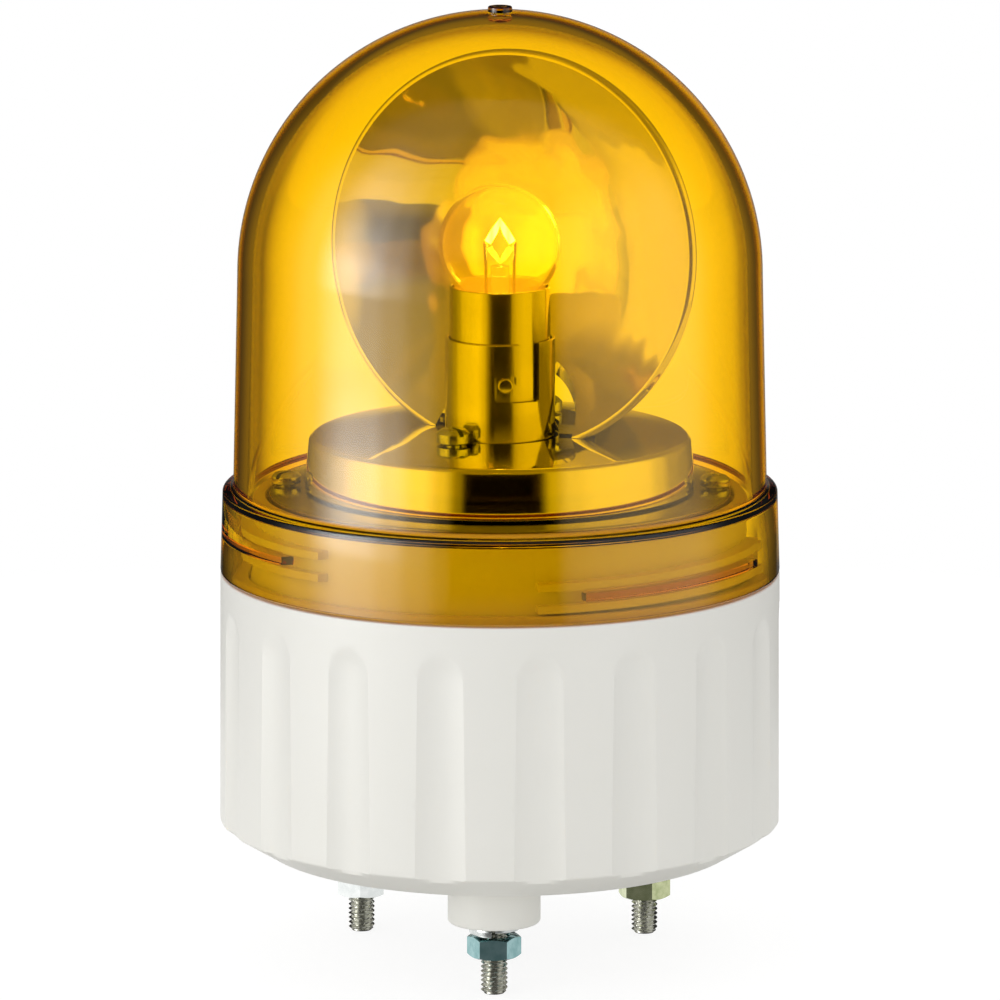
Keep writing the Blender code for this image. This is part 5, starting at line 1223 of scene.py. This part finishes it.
def make_floor():
    """White paper: it takes shadows near the object, and further out a glow hides where it ends."""
    shape = bmesh.new()
    bmesh.ops.create_circle(shape, cap_ends=True, segments=FLOOR_STEPS, radius=FLOOR_REACH)
    floor, tree, output = stage_piece("floor", shape, FLOOR_HEIGHT, "white_paper")
    floor.visible_glossy = False
    place = add(tree, "ShaderNodeTexCoord").outputs["Object"]
    away = add(tree, "ShaderNodeVectorMath", {0: place}, operation="LENGTH").outputs["Value"]
    fade = add(tree, "ShaderNodeMapRange", {
        "Value": away, "From Min": FADE_START, "From Max": FADE_END, "To Min": FLOOR_SHADE, "To Max": 0.0,
    }).outputs[0]
    paper = add(tree, "ShaderNodeBsdfDiffuse", {"Color": linear("#fbfbfa")}).outputs[0]
    glow = add(tree, "ShaderNodeEmission", {"Color": linear("#ffffff"), "Strength": FLOOR_GLOW})
    faded = add(tree, "ShaderNodeMixShader", {0: fade, 1: glow.outputs[0], 2: paper}).outputs[0]
    path = add(tree, "ShaderNodeLightPath").outputs
    rays = {0: seen_in_gloss_or_glass(tree, path), 1: path["Is Camera Ray"]}
    seen = add(tree, "ShaderNodeMath", rays, operation="MAXIMUM").outputs[0]
    whole = add(tree, "ShaderNodeMixShader", {0: seen, 1: paper, 2: faded}).outputs[0]
    feed(tree, output, {"Surface": whole})


def make_lamp():
    """A soft lamp at the left front, which lights matt surfaces only."""
    data = bpy.data.lights.new("softbox", "AREA")
    data.shape = "RECTANGLE"
    data.size, data.size_y = LAMP_SIZE
    data.energy = LAMP_POWER
    lamp = placed(data, "softbox")
    lamp.location = LAMP_PLACE
    lamp.rotation_euler = (Vector(LAMP_AIM) - lamp.location).to_track_quat("-Z", "Y").to_euler()
    lamp.visible_glossy = False
    lamp.visible_transmission = False


def make_card():
    """A pale band round the feet, dimmer towards the camera, which only reflections show."""
    shape = bmesh.new()
    bmesh.ops.create_cone(
        shape, cap_ends=False, segments=SMALL_STEPS, radius1=CARD_RADIUS, radius2=CARD_RADIUS,
        depth=CARD_TOP - CARD_BOTTOM,
    )
    card, tree, output = stage_piece("card", shape, (CARD_TOP + CARD_BOTTOM) / 2, "white_card")
    for flag in ("camera", "diffuse", "transmission", "shadow", "volume_scatter"):
        setattr(card, f"visible_{flag}", False)
    place = add(tree, "ShaderNodeTexCoord").outputs["Object"]
    parts = add(tree, "ShaderNodeSeparateXYZ", {0: place}).outputs
    level = levels(tree, azimuth_of(tree, parts), CARD_TURNS)
    glow = add(tree, "ShaderNodeEmission", {"Color": linear("#ffffff"), "Strength": level})
    feed(tree, output, {"Surface": glow.outputs[0]})


def make_camera():
    """The camera at the photograph's viewing angle."""
    data = bpy.data.cameras.new("photo_view")
    data.lens = CAMERA_LENS
    data.sensor_width = CAMERA_SENSOR
    data.clip_start = CAMERA_NEAR
    camera = placed(data, "photo_view")
    camera.location = CAMERA_PLACE
    camera.rotation_euler = (CAMERA_TILT, 0, CAMERA_TURN)
    bpy.context.scene.camera = camera


# Finishes of the parts inside: slot, material, colours, metallic, roughness, lump size and bump depth
INNER_FINISHES = (
    # Nitrile rubber, moulded: black and matt
    ("black_rubber", "nitrile_rubber", ("#191919", "#222221"), 0.0, 0.6, 0.4 * MM, 0.01 * MM),
    # Silicone, moulded and unpigmented: milky cream with a dull shine
    ("natural_silicone", "natural_silicone", ("#eee9dc", "#e4decf"), 0.0, 0.5, 1.5 * MM, 0.004 * MM),
    # Acetal, moulded and unpigmented: white and waxy
    ("white_acetal", "natural_acetal", ("#efeee8", "#e6e4dc"), 0.0, 0.35, 3 * MM, 0.004 * MM),
    # Brass, drawn: yellow with a satin shine
    ("brass", "drawn_brass", ("#d9b46a", "#c9a052"), 1.0, 0.28, 0.8 * MM, 0.003 * MM),
    # Bronze, pressed from powder and sintered: brown, dull and grainy
    ("sintered_bronze", "sintered_bronze", ("#a5794a", "#8d6439"), 1.0, 0.5, 0.15 * MM, 0.01 * MM),
    # Phenolic resin, hot moulded: dark brown with mottles
    ("phenolic", "phenolic_moulding", ("#3a2418", "#46301f"), 0.0, 0.5, 0.5 * MM, 0.006 * MM),
    # Tin solder, set from the melt: pale grey in soft dimples
    ("solder", "tin_solder", ("#c9c9c4", "#b4b4ae"), 1.0, 0.35, 0.9 * MM, 0.02 * MM),
    # Soft PVC, extruded round the leads: even colour with a satin shine
    ("red_lead", "red_vinyl", ("#a01a14", "#8c1510"), 0.0, 0.45, 0.7 * MM, 0.004 * MM),
    ("black_lead", "black_vinyl", ("#1a1a1a", "#232323"), 0.0, 0.45, 0.7 * MM, 0.004 * MM),
)


def main():
    """Make the finishes, the pieces and the stage."""
    drum_mirror = plated_plastic("plated_drum", 1.0, 0.02 * MM)
    dish_mirror = plated_plastic("plated_dish", 0.95, 0.16 * MM)
    amber = tinted_polycarbonate()
    plastic = moulded_abs()
    nickel = nickel_plate()
    clear_zinc = zinc_plate("clear_zinc", ("#d9dcda", "#c3c8c6"), 0.2)
    dulled_zinc = zinc_plate("dulled_zinc", ("#d2d2c8", "#bcbcb2"), 0.16)
    nut_zincs = (
        zinc_plate("blue_zinc", ("#9cc0c1", "#84adae"), 0.1),
        zinc_plate("yellow_zinc", ("#ccd2a6", "#b0b98a"), 0.1),
        zinc_plate("white_zinc", ("#f2f5f3", "#e6eae8"), 0.12),
    )
    finishes = {
        "housing_plastic": plastic, "amber_globe": amber, "mirror_plating": drum_mirror,
        "zinc_steel": clear_zinc, "nickel_plate": nickel, "dark_steel": plated_sheet(),
        "bulb_glass": blown_glass(), "tungsten": hot_tungsten(),
    }
    for slot, *finish in INNER_FINISHES:
        finishes[slot] = inner_finish(*finish)
    make_base(plastic)
    make_globe(amber)
    make_gasket(finishes["natural_silicone"])
    make_deck(finishes["dark_steel"], clear_zinc)
    make_drum(drum_mirror, clear_zinc)
    make_reflector(dish_mirror)
    make_socket(nickel)
    make_bulb(finishes["bulb_glass"], nickel, finishes["tungsten"])
    make_fixings(dulled_zinc, clear_zinc, nut_zincs)
    make_shortened(finishes)
    finish_frame(finishes)
    make_world()
    make_floor()
    make_lamp()
    make_card()
    make_camera()
    bpy.context.scene.view_settings.view_transform = "Standard"


main()
